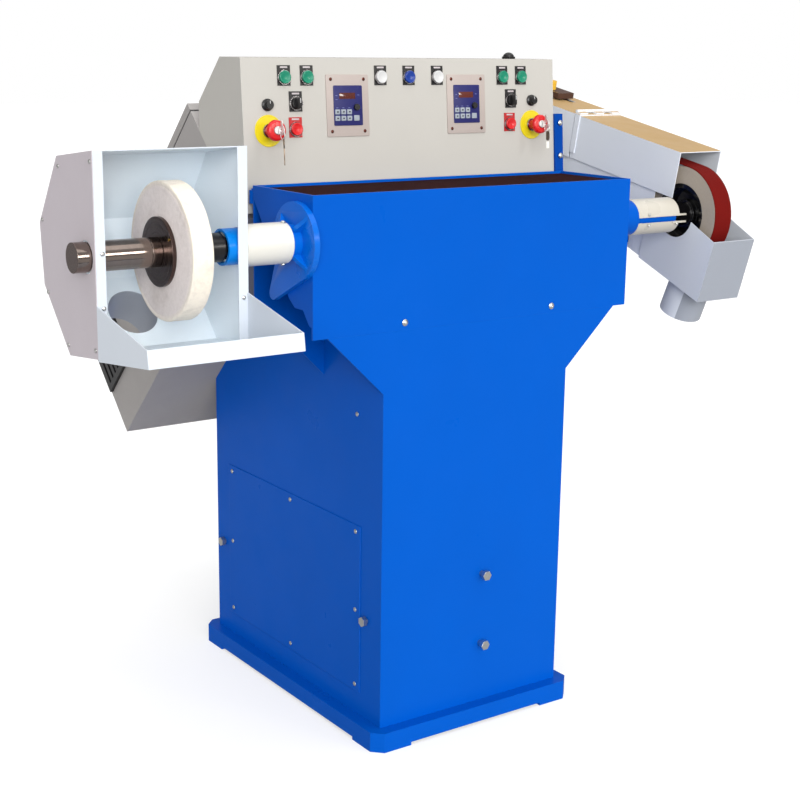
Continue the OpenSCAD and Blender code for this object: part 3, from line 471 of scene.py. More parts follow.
def buffing_cloth(name, centre, rim_radius):
    """Pressed cotton plies: warm rim, greyer flanks, one faint ring and loose fibres."""
    look = Finish(name, rough=0.95, specular=0.15, centre=centre)
    parts = add(look.tree, "ShaderNodeSeparateXYZ", [(0, look.where)])
    square = maths(look.tree, "ADD", maths(look.tree, "MULTIPLY", parts.outputs[1], parts.outputs[1]),
                   maths(look.tree, "MULTIPLY", parts.outputs[2], parts.outputs[2]))
    radius = maths(look.tree, "SQRT", square)
    rimward = spread(look.tree, radius, rim_radius * 0.90, rim_radius * 0.985)
    tone = look.group(TONE, Colour=swatch(238, 229, 226), Shade=swatch(206, 195, 190), Amount=0.8)
    base = blend(look.tree, rimward, tone.outputs["Colour"], swatch(238, 229, 214))
    smudge = spread(look.tree, cloud(look.tree, look.where, 0.05, 5.0, 0.65), 0.55, 0.72)
    base = blend(look.tree, maths(look.tree, "MULTIPLY", smudge, 0.35), base, swatch(172, 160, 150))
    fluff = spread(look.tree, cloud(look.tree, look.where, 0.009, 5.0, 0.7), 0.42, 0.66)
    base = blend(look.tree, maths(look.tree, "MULTIPLY", fluff, 0.22), base, swatch(190, 178, 172))
    look.set("Base Color", base)
    plies = maths(look.tree, "SINE", maths(look.tree, "MULTIPLY", parts.outputs[0], math.tau / 0.0026))
    fibres = cloud(look.tree, look.where, 0.0014, 4.0, 0.7)
    tufts = maths(look.tree, "MULTIPLY", cloud(look.tree, look.where, 0.006, 4.0, 0.7), 2.0)
    height = maths(look.tree, "ADD", tufts,
                   maths(look.tree, "MULTIPLY", plies, maths(look.tree, "MULTIPLY", rimward, 0.25)))
    look.relief(maths(look.tree, "ADD", height, fibres), 0.0006, 0.8)
    look.shader.inputs["Sheen Weight"].default_value = 0.25
    return look.material


def abrasive_cloth(name, colour):
    """Coated abrasive: sharp grit, worn glazed patches along the belt."""
    look = Finish(name, rough=0.8, specular=0.12)
    grit = add(look.tree, "ShaderNodeTexVoronoi", [("Vector", look.where), ("Scale", 1400.0)])
    tone = look.group(TONE, Colour=colour, Shade=darker(colour, 0.6), Amount=0.6)
    spark = spread(look.tree, grit.outputs["Distance"], 0.10, 0.0)
    look.set("Base Color", blend(look.tree, maths(look.tree, "MULTIPLY", spark, 0.3),
                                 tone.outputs["Colour"], swatch(176, 78, 58)))
    look.relief(grit.outputs["Distance"], 0.00025, 0.8)
    return look.material


def tyre_rubber(name, colour, centre):
    """Grey polyurethane tyre with faint moulding rings and scuffs."""
    look = Finish(name, rough=0.6, centre=centre)
    rings = look.group(LATHE, Pitch=0.0012)
    tone = look.group(TONE, Colour=colour, Shade=darker(colour, 0.7), Amount=0.8)
    look.set("Base Color", blend(look.tree, spread(look.tree, rings.outputs["Band"], 0.45, 0.7, 0.0, 0.35),
                                 tone.outputs["Colour"], darker(colour, 0.72)))
    look.relief(rings.outputs["Height"], 0.00012, 0.7)
    return look.material


def glowing_window(name):
    """Smoked display window with a dim red number field behind it."""
    look = Finish(name, rough=0.15, coat=0.6)
    tone = look.group(TONE, Colour=swatch(96, 36, 22), Shade=swatch(58, 18, 14), Amount=1.0)
    look.set("Base Color", tone.outputs["Colour"])
    look.set("Emission Color", tone.outputs["Colour"])
    look.shader.inputs["Emission Strength"].default_value = 0.35
    look.relief(cloud(look.tree, look.where, 0.004, 2.0), 0.00002)
    return look.material


def pale_floor(name):
    """Matt sheet that looks bright but throws little light back up."""
    look = Finish(name, rough=0.95, specular=0.0)
    tone = look.group(TONE, Colour=(0.5, 0.5, 0.5, 1), Shade=(0.48, 0.48, 0.48, 1), Amount=0.3)
    look.set("Base Color", tone.outputs["Colour"])
    seen = add(look.tree, "ShaderNodeLightPath").outputs["Is Camera Ray"]
    look.shader.inputs["Emission Color"].default_value = (1, 1, 1, 1)
    look.set("Emission Strength", maths(look.tree, "MULTIPLY", seen, 0.56))
    return look.material


LEFT_AXIS = joint_point("left_spindle_spin")
RIGHT_AXIS = joint_point("right_spindle_spin")
IDLER_AXIS = joint_point("idler_spin")

BLUE = paint("gloss blue coat", swatch(0, 82, 182), rough=0.34, coat=0.0, specular=0.06, wear=0.16,
             bare=swatch(60, 140, 226), amount=0.22)
DEEP_BLUE = paint("bracket blue coat", swatch(0, 62, 150), rough=0.36, coat=0.0, specular=0.06, wear=0.16,
                  bare=swatch(50, 120, 210), amount=0.22)
NOSE_BLUE = paint("light blue coat", swatch(0, 122, 214), rough=0.3, coat=0.03, specular=0.15, wear=0.2)
FLANGE_BLUE = paint("flange blue coat", swatch(0, 98, 200), rough=0.28, coat=0.05, specular=0.2, wear=0.25,
                    bare=swatch(70, 160, 236))
WHITE = paint("white sheet coat", swatch(206, 213, 222), rough=0.4, coat=0.05, amount=0.12, wear=0.5)
# painted light: a lighter copy of the white coat for the hood's inside, standing in for light that fills the hood
INNER_PAINTED_LIGHT = paint("hood inner painted light", swatch(238, 248, 255), rough=0.4, coat=0.05, amount=0.1, wear=0.4)
# painted shade: a darker, purple-grey copy of the white coat for the hood's shaded left panel
PANEL_PAINTED_SHADE = paint("hood panel painted shade", swatch(190, 182, 188), rough=0.42, coat=0.05, amount=0.15, wear=0.5)
CREAM = paint("cream guard coat", swatch(212, 210, 202), rough=0.3, coat=0.15, amount=0.15)
PALE_GREY = paint("pale grey coat", swatch(176, 181, 191), rough=0.4, coat=0.05, amount=0.18)
# partly painted light: the arm's pale grey, made lighter to stand in for light its shaded left side lacks
ARM_GREY_PAINTED_LIGHT = paint("arm side coat with painted light", swatch(222, 227, 235), rough=0.4, coat=0.05, amount=0.12, wear=0.1)
# painted shade on the dust box front and painted light on its left side: darker and lighter copies of the pale
# grey
BOX_FRONT_PAINTED_SHADE = paint("dust box front painted shade", swatch(148, 153, 163), rough=0.42, coat=0.05, amount=0.15, wear=0.2)
BOX_SIDE_PAINTED_LIGHT = paint("dust box side painted light", swatch(204, 209, 218), rough=0.42, coat=0.05, amount=0.15, wear=0.2)
# painted warm light: up-facing sheet tinted tan for the warm ceiling light falling on it
TOP_WARM_LIGHT = paint("painted warm light on tops", swatch(184, 152, 104), rough=0.45, coat=0.05, amount=0.3)
RIGHT_CREAM = paint("right guard coat", swatch(190, 185, 174), rough=0.3, coat=0.1, amount=0.08)
# painted shade: a darker copy of the console grey for the cabinet in shade under the hood
CABINET_PAINTED_SHADE = paint("cabinet grey painted shade", swatch(158, 154, 152), rough=0.5, coat=0.0, amount=0.18,
                     peel=0.0016, peel_depth=0.0001)
WARM_GREY = paint("console grey coat", swatch(182, 179, 173), rough=0.5, coat=0.03, amount=0.14,
                  peel=0.0016, peel_depth=0.0001)
BLACK_GLOSS = paint("black hub enamel", swatch(14, 13, 15), rough=0.15, coat=0.6, amount=0.5, wear=0.3)
BROWN = paint("brown casting enamel", swatch(74, 48, 36), rough=0.5, coat=0.0, amount=0.8, peel=0.002,
              peel_depth=0.0003)
AMBER = paint("amber tag coat", swatch(224, 176, 52), rough=0.4, coat=0.1)
MOTOR = paint("motor casting coat", swatch(74, 82, 94), rough=0.45, coat=0.0, amount=0.6, peel=0.0022,
              peel_depth=0.0003)
SHAFT_STEEL = turned_metal("turned shaft steel", swatch(146, 132, 124), 0.13, LEFT_AXIS)
FLANGE_STEEL = turned_metal("dark flange steel", swatch(96, 80, 76), 0.24, LEFT_AXIS, 0.0009)
RIGHT_STEEL = turned_metal("right shaft steel", swatch(170, 160, 150), 0.24, RIGHT_AXIS)
IDLER_METAL = turned_metal("idler alloy", swatch(200, 200, 204), 0.28, IDLER_AXIS)
ZINC = plain_metal("zinc plate", swatch(205, 205, 202))
CHROME = plain_metal("bezel chrome", swatch(168, 164, 166), 0.14)
BRIGHT = plain_metal("bright key metal", swatch(232, 230, 228), 0.38)
TARNISHED = plain_metal("tarnished key metal", swatch(128, 112, 96), 0.3)
STRIP = moulded("legend strip", swatch(186, 178, 180), rough=0.3)
SCREW_BROWN = plain_metal("bronzed screw", swatch(104, 62, 54), 0.35)
KEYPAD_MARK = moulded("printed mark", swatch(110, 116, 170), rough=0.5)
BRASS = plain_metal("brass pin", swatch(206, 170, 90), 0.25)
MAT = ribbed_rubber("top mat rubber", swatch(44, 12, 14))
BELT_RUBBER = ribbed_rubber("drive belt rubber", swatch(34, 34, 36))
BUFF = buffing_cloth("buffing cloth", LEFT_AXIS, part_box("buff_wheel")[1].z - LEFT_AXIS.z)
ABRASIVE = abrasive_cloth("belt abrasive", swatch(106, 9, 4))
TYRE = tyre_rubber("contact tyre", swatch(172, 161, 148), RIGHT_AXIS)
BLACK = moulded("black moulding", swatch(10, 8, 10), rough=0.3)
RED = moulded("red moulding", swatch(206, 16, 22), rough=0.25, coat=0.15)
RED_PLATE = moulded("red legend", swatch(176, 14, 20), rough=0.35)
GREEN = moulded("green moulding", swatch(0, 128, 98), rough=0.28, coat=0.1)
BLUE_CAP = moulded("blue moulding", swatch(0, 50, 140), rough=0.28, coat=0.1)
WHITE_CAP = moulded("white moulding", swatch(204, 204, 204), rough=0.28, coat=0.1)
YELLOW = moulded("yellow disc", swatch(222, 204, 10), rough=0.4)
KEYPAD_BLUE = moulded("keypad blue", swatch(14, 16, 92), rough=0.4)
KEYPAD_PLATE = moulded("keypad surround", swatch(176, 164, 158), rough=0.5)
KEY_GREY = moulded("key caps", swatch(150, 158, 168), rough=0.45)
PAPER = moulded("paper tag", swatch(240, 238, 230), rough=0.8, grain=0.0003)
WINDOW = glowing_window("display window")


# ---------- pedestal ----------

def build_pedestal():
    for node in ("base_plate", "column_shell", "head_cover", "access_panel"):
        folded(node, BLUE, 1.1 * MM)
    folded("support_brackets", DEEP_BLUE, 1.1 * MM)
    folded("top_mat", MAT, 0.8 * MM)
    folded("pedestal_screws", ZINC, 0.4 * MM)
    folded("jacking_bolts", ZINC, 0.9 * MM)


def build_drive():
    for node in ("left_motor", "right_motor"):
        folded(node, MOTOR, 1.5 * MM)
    folded("drive_belts", BELT_RUBBER, 0.8 * MM)
    folded("spindle_bearings", ZINC, 0.6 * MM)
    for side in ("left", "right"):
        for part in ("spindle", "motor"):
            iron = turned_metal(f"{side} {part} pulley iron", swatch(120, 120, 122), 0.35,
                                joint_point(f"{side}_{part}_spin"), 0.001)
            folded(f"{side}_{part}_pulley", iron, 0.6 * MM)


# ---------- left spindle and hood ----------

def radius_from(axis, point):
    return math.hypot(point.y - axis.y, point.z - axis.z)


def build_left_housing():
    """Blue casting whose bare nose, past the white guard, has a lighter coat."""
    nose_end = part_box("left_tube_guard")[0].x
    bm = merged_copy("left_spindle_housing")
    bmesh.ops.bisect_plane(bm, geom=bm.verts[:] + bm.edges[:] + bm.faces[:], dist=1e-6,
                           plane_co=(nose_end, 0, 0), plane_no=(1, 0, 0))
    for face in bm.faces:
        face.material_index = int(face.calc_center_median().x < nose_end)
    cast = piece("left_spindle_housing_finished", bm, (FLANGE_BLUE, NOSE_BLUE), "left_spindle_housing",
                 stands_for=("left_spindle_housing",))
    rounded(cast, 0.8 * MM)
    folded("left_tube_guard", CREAM, 0.5 * MM)


def build_left_shaft():
    low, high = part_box("buff_wheel")
    flange_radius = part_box("left_shaft")[1].z - LEFT_AXIS.z
    nut_start = high.x + 10.1 * MM

    def coat(face):
        at = face.calc_center_median()
        on_flange = radius_from(LEFT_AXIS, at) > flange_radius * 0.55
        if on_flange or low.x - 9 * MM < at.x < high.x + 10 * MM or face.normal.x < -0.9:
            return 1
        return 2 if at.x > nut_start else 0

    folded("left_shaft", (SHAFT_STEEL, FLANGE_STEEL, BLACK), 0.8 * MM, pick=coat)
    pin = turned([(0, 0), (2.6 * MM, 0), (2.6 * MM, 1.6 * MM), (1.6 * MM, 2.4 * MM), (0, 2.6 * MM)], 20)
    seat = math.radians(28)
    reach = flange_radius - 5 * MM
    at = Vector((low.x - 8.2 * MM, LEFT_AXIS.y - reach * math.cos(seat),
                 LEFT_AXIS.z + reach * math.sin(seat)))
    piece("clamp_flange_pin", gather([(pin, place(at, -ACROSS, Vector((0, 1, 0))))]), BRASS, "left_shaft")


def build_buff():
    """Pressed cloth wheel: nearly square rim, stitched flanks, slightly uneven all round."""
    low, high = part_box("buff_wheel")
    width = high.x - low.x
    rim = high.z - LEFT_AXIS.z
    bore = 20.1 * MM
    edge = 3 * MM
    seam = rim * 0.93

    def flank(height, sign):
        rings = [(rim * share, height) for share in (0.45, 0.6, 0.7, 0.8, 0.88)]
        return [(bore, height)] + rings + [(seam - 1.2 * MM, height), (seam, height + sign * 0.5 * MM),
                                           (seam + 1.2 * MM, height)]

    profile = flank(0, 1) + [(rim - edge, 0), (rim - edge * 0.3, edge * 0.3), (rim, edge)]
    plies = 14
    for ply in range(1, plies):
        at = edge + (width - 2 * edge) * ply / plies
        profile += [(rim, at - 0.9 * MM), (rim - 0.4 * MM, at)]
    profile += [(rim, width - edge), (rim - edge * 0.3, width - edge * 0.3), (rim - edge, width)]
    profile += flank(width, -1)[::-1]
    bm = ring(profile, 144)
    for vert in bm.verts:
        radius = math.hypot(vert.co.x, vert.co.y)
        if radius > bore * 1.5:
            lump = noise.noise(vert.co * 30.0) * 0.8 * MM + noise.noise(vert.co * 120.0) * 0.4 * MM
            vert.co.x -= vert.co.x / radius * abs(lump)
            vert.co.y -= vert.co.y / radius * abs(lump)
            if radius > rim * 0.52:
                vert.co.z += lump * 0.4
    there = place(Vector((low.x, LEFT_AXIS.y, LEFT_AXIS.z)), ACROSS, Vector((0, 1, 0)))
    piece("buffing_wheel", gather([(bm, there)]), BUFF, "buff_wheel", stands_for=("buff_wheel",), sharp=34)


def build_hood():
    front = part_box("hood_shell")[0].y + 3 * MM

    centre = middle("hood_shell")

    def inner(face):
        at = face.calc_center_median()
        if at.y <= front:
            return 0
        lining = face.normal.y < 0.5 and abs(face.normal.x) < 0.5 and face.normal.dot(at - centre) < 0
        return int(lining or face.normal.x < -0.9)

    # inside faces take material 1, the white coat brightened as painted light
    folded("hood_shell", (WHITE, INNER_PAINTED_LIGHT), 0.7 * MM, pick=inner)
    folded("hood_side_panel", PANEL_PAINTED_SHADE, 0.7 * MM)
    folded("hood_tray", WHITE, 0.7 * MM)
    folded("hood_duct", PALE_GREY, 0.6 * MM)
    folded("guard_screws", ZINC, 0.4 * MM)


# ---------- right spindle and belt arm ----------

def lit_top(face):
    """Material 1, a tan painted warm light, for sheet that faces up; 0 for the rest."""
    return int(face.normal.z > 0.9)


def box_face(face):
    """Material of the dust box: 1 on its front, a darker copy of its grey as painted shade; 2 on its left side, a
    lighter copy as painted light; 0 elsewhere.
    """
    if face.normal.y < -0.5:
        return 1
    return 2 if face.normal.x < -0.5 else 0


def build_right_side():
    folded("right_spindle_housing", BLUE, 0.9 * MM)
    folded("right_tube_guard", RIGHT_CREAM, 0.5 * MM)
    folded("right_shaft", RIGHT_STEEL, 0.8 * MM)
    folded("contact_hub", BLACK_GLOSS, 1.0 * MM)
    folded("contact_tyre", TYRE, 1.2 * MM)
    folded("abrasive_belt", ABRASIVE, 0.3 * MM)
    folded("idler_wheel", IDLER_METAL, 1.0 * MM)
    folded("dust_box", (PALE_GREY, BOX_FRONT_PAINTED_SHADE, BOX_SIDE_PAINTED_LIGHT), 0.7 * MM, pick=box_face)
    # up-facing faces take material 1, the tan painted warm light
    for node in ("arm_trough", "arm_guard", "arm_cover"):
        folded(node, (ARM_GREY_PAINTED_LIGHT, TOP_WARM_LIGHT), 0.6 * MM, pick=lit_top)


def build_tension_slide():
    grip_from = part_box("tension_slide")[1].z - 24 * MM

    def coat(face):
        return int(face.calc_center_median().z > grip_from)

    folded("tension_slide", (BROWN, AMBER), 1.0 * MM, pick=coat)


# ---------- cabinet and console ----------

def build_cabinet():
    # shell and door take the darker grey, painted shade under the hood
    folded("cabinet_shell", CABINET_PAINTED_SHADE, 1.5 * MM)
    folded("cabinet_door", CABINET_PAINTED_SHADE, 2.0 * MM)
    folded("cabinet_fittings", BLACK, 0.8 * MM)
    folded("cabinet_equipment", KEYPAD_PLATE, 1.2 * MM)
    folded("console_box", WARM_GREY, 0.9 * MM)


PUSH_CAPS = {"green_button_1": GREEN, "green_button_2": GREEN, "green_button_3": GREEN,
             "green_button_4": GREEN, "white_button_1": WHITE_CAP, "white_button_2": WHITE_CAP,
             "blue_button": BLUE_CAP, "red_button_1": RED, "red_button_2": RED}
SELECTORS = ("selector_left", "selector_right")
SPEED_KNOBS = ("speed_knob_left", "speed_knob_right")
ESTOPS = ("estop_left", "estop_right")
STEM = 10.6 * MM
STEM_FOOT = -10 * MM
LEGEND_RISE = 19.5 * MM
LEGEND_TOP = 1.5 * MM
KEY_RING_OUT = 55 * MM


def knob_at(node):
    return place(joint_point(node + "_turn"), PANEL_OUT)


def build_legends():
    """Legend plates with chromed bezels; the stop buttons' plates are red."""
    stop_z = middle("red_button_1").z

    def coat(face):
        at = face.calc_center_median()
        if (at - PANEL_POINT).dot(PANEL_OUT) > 1.6 * MM:
            return 1
        return 2 if abs(at.z - stop_z) < 26 * MM else 0

    folded("legend_plates", (BLACK, CHROME, RED_PLATE), 0.35 * MM, pick=coat)
    controls = [control_at(node) for node in PUSH_CAPS] + [knob_at(node) for node in SELECTORS]
    places = [at @ shift(0, LEGEND_RISE, LEGEND_TOP) for at in controls]
    strips = repeat(lambda: plate(17 * MM, 3.4 * MM, 0.5 * MM, 0.8 * MM, 0.15 * MM), places)
    piece("legend_strips", strips, STRIP, "legend_plates")


def build_push_buttons():
    """Dished caps on round stems."""
    cap, seat, top = 12.8 * MM, 5 * MM, 9 * MM
    for node, finish in PUSH_CAPS.items():
        edge = arc(1.0 * MM, 0, 90, 4, (cap - 1.0 * MM, top - 1.0 * MM))
        profile = [(0, STEM_FOOT), (STEM, STEM_FOOT), (STEM, seat), (cap, seat)] + edge
        profile += [(cap - 2.4 * MM, top), (cap - 3.4 * MM, top - 0.6 * MM), (0, top - 1.1 * MM)]
        piece(node + "_cap", gather([(turned(profile, 48), control_at(node))]), finish, node,
              stands_for=(node,))


def build_selectors():
    """Round base with a raised grip and a white pointer line."""
    base = [(0, STEM_FOOT), (STEM, STEM_FOOT), (STEM, 4 * MM), (11.8 * MM, 4 * MM),
            (11.8 * MM, 6.6 * MM), (11.0 * MM, 7.8 * MM), (0, 8 * MM)]
    for node in SELECTORS:
        grip = block((7.4 * MM, 21 * MM, 13.5 * MM), 1.6 * MM, 3)
        for vert in grip.verts:
            if vert.co.z > 9 * MM:
                vert.co.x *= 0.72
        at = knob_at(node)
        piece(node + "_knob", gather([(turned(base, 48), at), (grip, at @ shift(0, 0, 7.4 * MM))]),
              BLACK, node, stands_for=(node,))
        line = plate(1.6 * MM, 9 * MM, 0.5 * MM, 0.5 * MM, 0.15 * MM)
        piece(node + "_pointer", gather([(line, at @ shift(0, 5 * MM, 20.7 * MM))]), WHITE_CAP, node)


def fluted_knob(radius, skirt, foot, top):
    """Turned knob whose sides are pulled in at every flute."""
    flutes = 24
    profile = [(0, -8 * MM), (3 * MM, -8 * MM), (3 * MM, foot), (skirt, foot), (skirt, foot + 3.2 * MM),
               (radius + 0.8 * MM, foot + 4.6 * MM), (radius, foot + 5.4 * MM), (radius, top - 1.6 * MM),
               (radius - 1.4 * MM, top), (0, top)]
    bm = turned(profile, flutes * 4)
    for vert in bm.verts:
        if foot + 5.3 * MM < vert.co.z < top - 1 * MM:
            wave = 0.5 + 0.5 * math.cos(math.atan2(vert.co.y, vert.co.x) * flutes)
            vert.co.x *= 1 - 0.06 * wave
            vert.co.y *= 1 - 0.06 * wave
    return bm


def build_speed_knobs():
    for node in SPEED_KNOBS:
        at = knob_at(node)
        knob = fluted_knob(9.5 * MM, 12.2 * MM, 0.5 * MM, 14 * MM)
        piece(node + "_knob", gather([(knob, at)]), BLACK, node, stands_for=(node,))
        mark = plate(1.4 * MM, 6 * MM, 0.5 * MM, 0.5 * MM, 0.15 * MM)
        piece(node + "_mark", gather([(mark, at @ shift(0, 5 * MM, 13.7 * MM))]), WHITE_CAP, node)


def key(length):
    """Flat key: round bow with a hole, narrow blade with a narrower tip; the blade points to -Y."""
    bow = ring([(3.2 * MM, 0), (9.5 * MM, 0), (10 * MM, 0.6 * MM), (10 * MM, 1.6 * MM), (9.5 * MM, 2.2 * MM),
                (3.2 * MM, 2.2 * MM)], 32)
    blade = block((6.6 * MM, length, 2.0 * MM), 0.4 * MM)
    tip = block((4.2 * MM, length * 0.45, 2.0 * MM), 0.4 * MM)
    return gather([(bow, shift(0, 0, 0)), (blade, shift(0, -9 * MM - length / 2, 0.1 * MM)),
                   (tip, shift(0, -8 * MM - length * 1.2, 0.1 * MM))])


def wire_ring(radius, wire):
    return ring(arc(wire, 0, 330, 11, (radius, 0)), 40)


def build_estops():
    """Mushroom heads with a key lock; a spare key or a paper tag hangs from each key's ring."""
    head = [(0, STEM_FOOT), (STEM, STEM_FOOT), (STEM, 27 * MM), (19.4 * MM, 27 * MM)]
    head += arc(1.9 * MM, -60, 20, 5, (19.1 * MM, 29.2 * MM))
    head += arc(5.0 * MM, 25, 88, 6, (15.6 * MM, 32.0 * MM))
    head += [(9.4 * MM, 37.4 * MM), (9.0 * MM, 36 * MM), (0, 36 * MM)]
    lock = [(0, 35.9 * MM), (8.2 * MM, 35.9 * MM), (8.2 * MM, 38.2 * MM), (7.4 * MM, 39 * MM), (0, 39 * MM)]
    discs = middle("estop_discs")
    for node in ESTOPS:
        at = on_panel(middle(node).x, discs.z)
        piece(node + "_mushroom", gather([(turned(head, 56), at)]), RED, node, stands_for=(node,))
        piece(node + "_lock", gather([(turned(lock, 40), at)]), BRIGHT, node)
        upright = at @ shift(0, 0, 51 * MM) @ turn(90, "X") @ turn(90, "Y") @ turn(90, "Z")
        piece(node + "_key", gather([(key(8 * MM), upright)]), BRIGHT, node)
        loop = at @ shift(0, -10 * MM, KEY_RING_OUT) @ turn(90, "Y")
        piece(node + "_ring", gather([(wire_ring(8 * MM, 0.8 * MM), loop)]), BRIGHT, node)
        hang = at @ shift(0.5 * MM, -26 * MM, KEY_RING_OUT)
        if node == ESTOPS[0]:
            piece("spare_key", gather([(key(24 * MM), hang @ turn(62, "Y"))]), TARNISHED, node)
        else:
            fob = plate(12 * MM, 21 * MM, 2.4 * MM, 5 * MM, 0.6 * MM)
            piece("key_fob", gather([(fob, hang @ turn(20, "Y"))]), TARNISHED, node)
            tag = plate(9 * MM, 15 * MM, 0.8 * MM, 1 * MM, 0.2 * MM)
            piece("paper_tag", gather([(tag, hang @ shift(0, -20 * MM, 0.4 * MM) @ turn(10, "Y"))]),
                  PAPER, node)


def build_estop_discs():
    """Yellow discs with a raised rim."""
    places = [on_panel(middle(node).x, middle("estop_discs").z) for node in ESTOPS]
    disc = [(13.3 * MM, 0), (31.5 * MM, 0), (31.5 * MM, 1.4 * MM), (30.8 * MM, 2.0 * MM),
            (29.0 * MM, 2.0 * MM), (28.6 * MM, 1.6 * MM), (17.2 * MM, 1.6 * MM), (16.8 * MM, 2.0 * MM),
            (13.3 * MM, 2.0 * MM)]
    piece("yellow_discs", repeat(lambda: ring(disc, 72), places), YELLOW, "estop_discs",
          stands_for=("estop_discs",))
    bezel = [(11.2 * MM, 1.9 * MM), (13.9 * MM, 1.9 * MM), (13.9 * MM, 4.6 * MM), (13.3 * MM, 5.2 * MM),
             (11.2 * MM, 5.2 * MM)]
    piece("estop_bezels", repeat(lambda: ring(bezel, 48), places), CHROME, "estop_discs")


def pan_head(radius, height):
    """Dome head, squashed to the given height."""
    dome = turned([(0, 0), (radius, 0), (radius, height * 0.35)] +
                  arc(radius, 18, 80, 6, (0, 0))[1:] + [(0, radius * 0.99)], 24)
    bmesh.ops.scale(dome, vec=(1, 1, height / radius), verts=dome.verts)
    return dome


def build_keypads():
    """Drive keypads: surround, blue face, display window, keys and a small dial each."""
    low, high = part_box("drive_keypads")
    wide, tall = 103 * MM, 125 * MM
    height = (low.z + high.z) / 2
    places = [on_panel(x, height) for x in (low.x + wide / 2, high.x - wide / 2)]

    def fit(name, make, spots, finish, stands_for=()):
        where = [at @ shift(*spot) for at in places for spot in spots]
        piece(name, repeat(make, where), finish, "drive_keypads", stands_for=stands_for)

    fit("keypad_surrounds", lambda: plate(wide, tall, 2.2 * MM, 3 * MM, 0.6 * MM), [(0, 0, 0)],
        KEYPAD_PLATE, ("drive_keypads",))
    fit("keypad_faces", lambda: plate(70 * MM, 81 * MM, 1.4 * MM, 2.5 * MM, 0.5 * MM), [(0, 0, 2.2 * MM)],
        KEYPAD_BLUE)
    top = 3.6 * MM
    fit("keypad_windows", lambda: plate(39 * MM, 12.5 * MM, 0.5 * MM, 1.2 * MM, 0.2 * MM),
        [(-2 * MM, 19.5 * MM, top)], WINDOW)
    columns = [(-27 + 14.5 * column) * MM for column in range(3)]
    keys = [(x, -12.7 * MM, top) for x in columns] + [(x, -25.7 * MM, top) for x in columns]
    fit("keypad_keys", lambda: plate(11.4 * MM, 10 * MM, 1.5 * MM, 1.5 * MM, 0.5 * MM), keys, KEY_GREY)
    fit("keypad_start_keys", lambda: plate(13 * MM, 11.5 * MM, 1.5 * MM, 1.5 * MM, 0.5 * MM),
        [(19.3 * MM, -25.4 * MM, top)], KEY_GREY)
    legends = [(x, y * MM, top + 1.5 * MM) for x in columns for y in (-12.7, -25.7)]
    fit("keypad_key_marks", lambda: plate(4.5 * MM, 2.6 * MM, 0.2 * MM, 0.8 * MM, 0.1 * MM), legends, BLACK)
    marks = [(x, -4.6 * MM, top) for x in columns]
    marks += [(-28 * MM, 20 * MM, top), (-28 * MM, 12 * MM, top), (25 * MM, 21 * MM, top)]
    fit("keypad_marks", lambda: plate(5 * MM, 1.1 * MM, 0.25 * MM, 0.4 * MM, 0.1 * MM), marks, KEYPAD_MARK)
    dial = [(0, 0), (6.8 * MM, 0), (6.8 * MM, 3.6 * MM), (6.0 * MM, 4.8 * MM), (0, 4.9 * MM)]
    fit("keypad_dials", lambda: turned(dial, 36), [(20 * MM, -3.5 * MM, top)], BLACK)
    corners = [(x * 40 * MM, (0.5 + y * 52.5) * MM, 2.2 * MM) for x in (-1, 1) for y in (-1, 1)]
    fit("keypad_screws", lambda: pan_head(3.6 * MM, 1.8 * MM), corners, SCREW_BROWN)


# ---------- stage ----------

def build_floor():
    bm = bmesh.new()
    bmesh.ops.create_grid(bm, x_segments=1, y_segments=1, size=30.0)
    mesh = bpy.data.meshes.new("floor")
    bm.to_mesh(mesh)
    bm.free()
    floor = bpy.data.objects.new("floor", mesh)
    bpy.context.scene.collection.objects.link(floor)
    mesh.materials.append(FLOOR)


def soft_sun(name, towards, strength, spread_degrees, colour=(1, 1, 1)):
    """Wide even light from the direction `towards`, as a bounced studio ceiling gives."""
    light = bpy.data.lights.new(name, "SUN")
    light.energy = strength
    light.angle = math.radians(spread_degrees)
    light.color = colour
    obj = bpy.data.objects.new(name, light)
    obj.matrix_world = place(Vector(towards).normalized() * 5, Vector(towards))
    bpy.context.scene.collection.objects.link(obj)


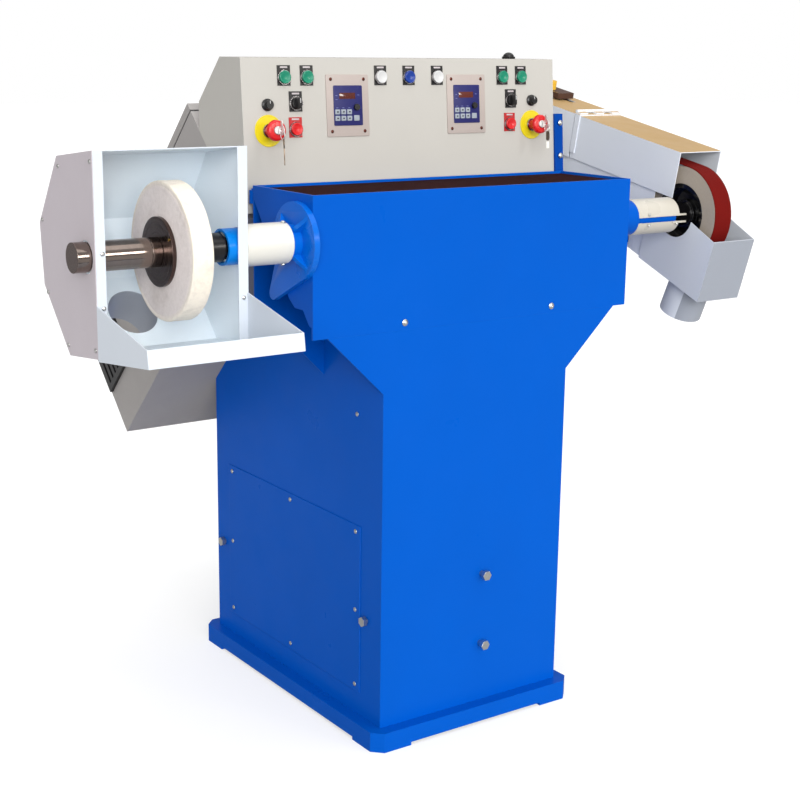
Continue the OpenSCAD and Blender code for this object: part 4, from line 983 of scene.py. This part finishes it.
def build_lights():
    world = bpy.data.worlds.new("studio")
    world.use_nodes = True
    tree = world.node_tree
    seen = add(tree, "ShaderNodeLightPath").outputs["Is Camera Ray"]
    towards = add(tree, "ShaderNodeTexCoord").outputs["Generated"]
    height = add(tree, "ShaderNodeSeparateXYZ", [(0, towards)]).outputs[2]
    sky = spread(tree, height, -0.15, 0.75, 0.16, 0.66)
    lit = maths(tree, "MAXIMUM", sky, seen)
    tree.links.new(lit, tree.nodes["Background"].inputs["Strength"])
    tree.nodes["Background"].inputs["Color"].default_value = (1.0, 1.0, 1.0, 1.0)
    bpy.context.scene.world = world
    soft_sun("front light", (-0.22, -0.97, 0.32), 1.55, 40, (1.0, 0.99, 0.97))
    soft_sun("fill light", (-0.56, -0.80, 0.22), 1.6, 30)
    soft_sun("streak light", (0.43, -0.87, 0.24), 0.45, 11, (1.0, 0.97, 0.92))
    soft_sun("ceiling light", (0.1, -0.1, 1.0), 1.2, 80)


def build_camera():
    """Long lens, a little above the head, looking right and down at the machine's left front."""
    yaw, pitch, roll = (math.radians(value) for value in (35.125, 13.419, 0.791))
    forward = Vector((math.sin(yaw) * math.cos(pitch), math.cos(yaw) * math.cos(pitch), -math.sin(pitch)))
    level = Vector((math.cos(yaw), -math.sin(yaw), 0))
    upward = level.cross(forward)
    right = level * math.cos(roll) + upward * math.sin(roll)
    lens = bpy.data.cameras.new("camera")
    lens.lens = 67.16
    lens.sensor_width = 36.0
    camera = bpy.data.objects.new("camera", lens)
    camera.matrix_world = place(Vector((-1.8610, -2.7149, 1.4322)), -forward, right)
    bpy.context.scene.collection.objects.link(camera)
    bpy.context.scene.camera = camera


FLOOR = pale_floor("pale floor")
bpy.context.scene.view_settings.view_transform = "Standard"

build_camera()
build_lights()
build_floor()
build_pedestal()
build_drive()
build_left_housing()
build_left_shaft()
build_buff()
build_hood()
build_right_side()
build_tension_slide()
build_cabinet()
build_legends()
build_push_buttons()
build_selectors()
build_speed_knobs()
build_estops()
build_estop_discs()
build_keypads()
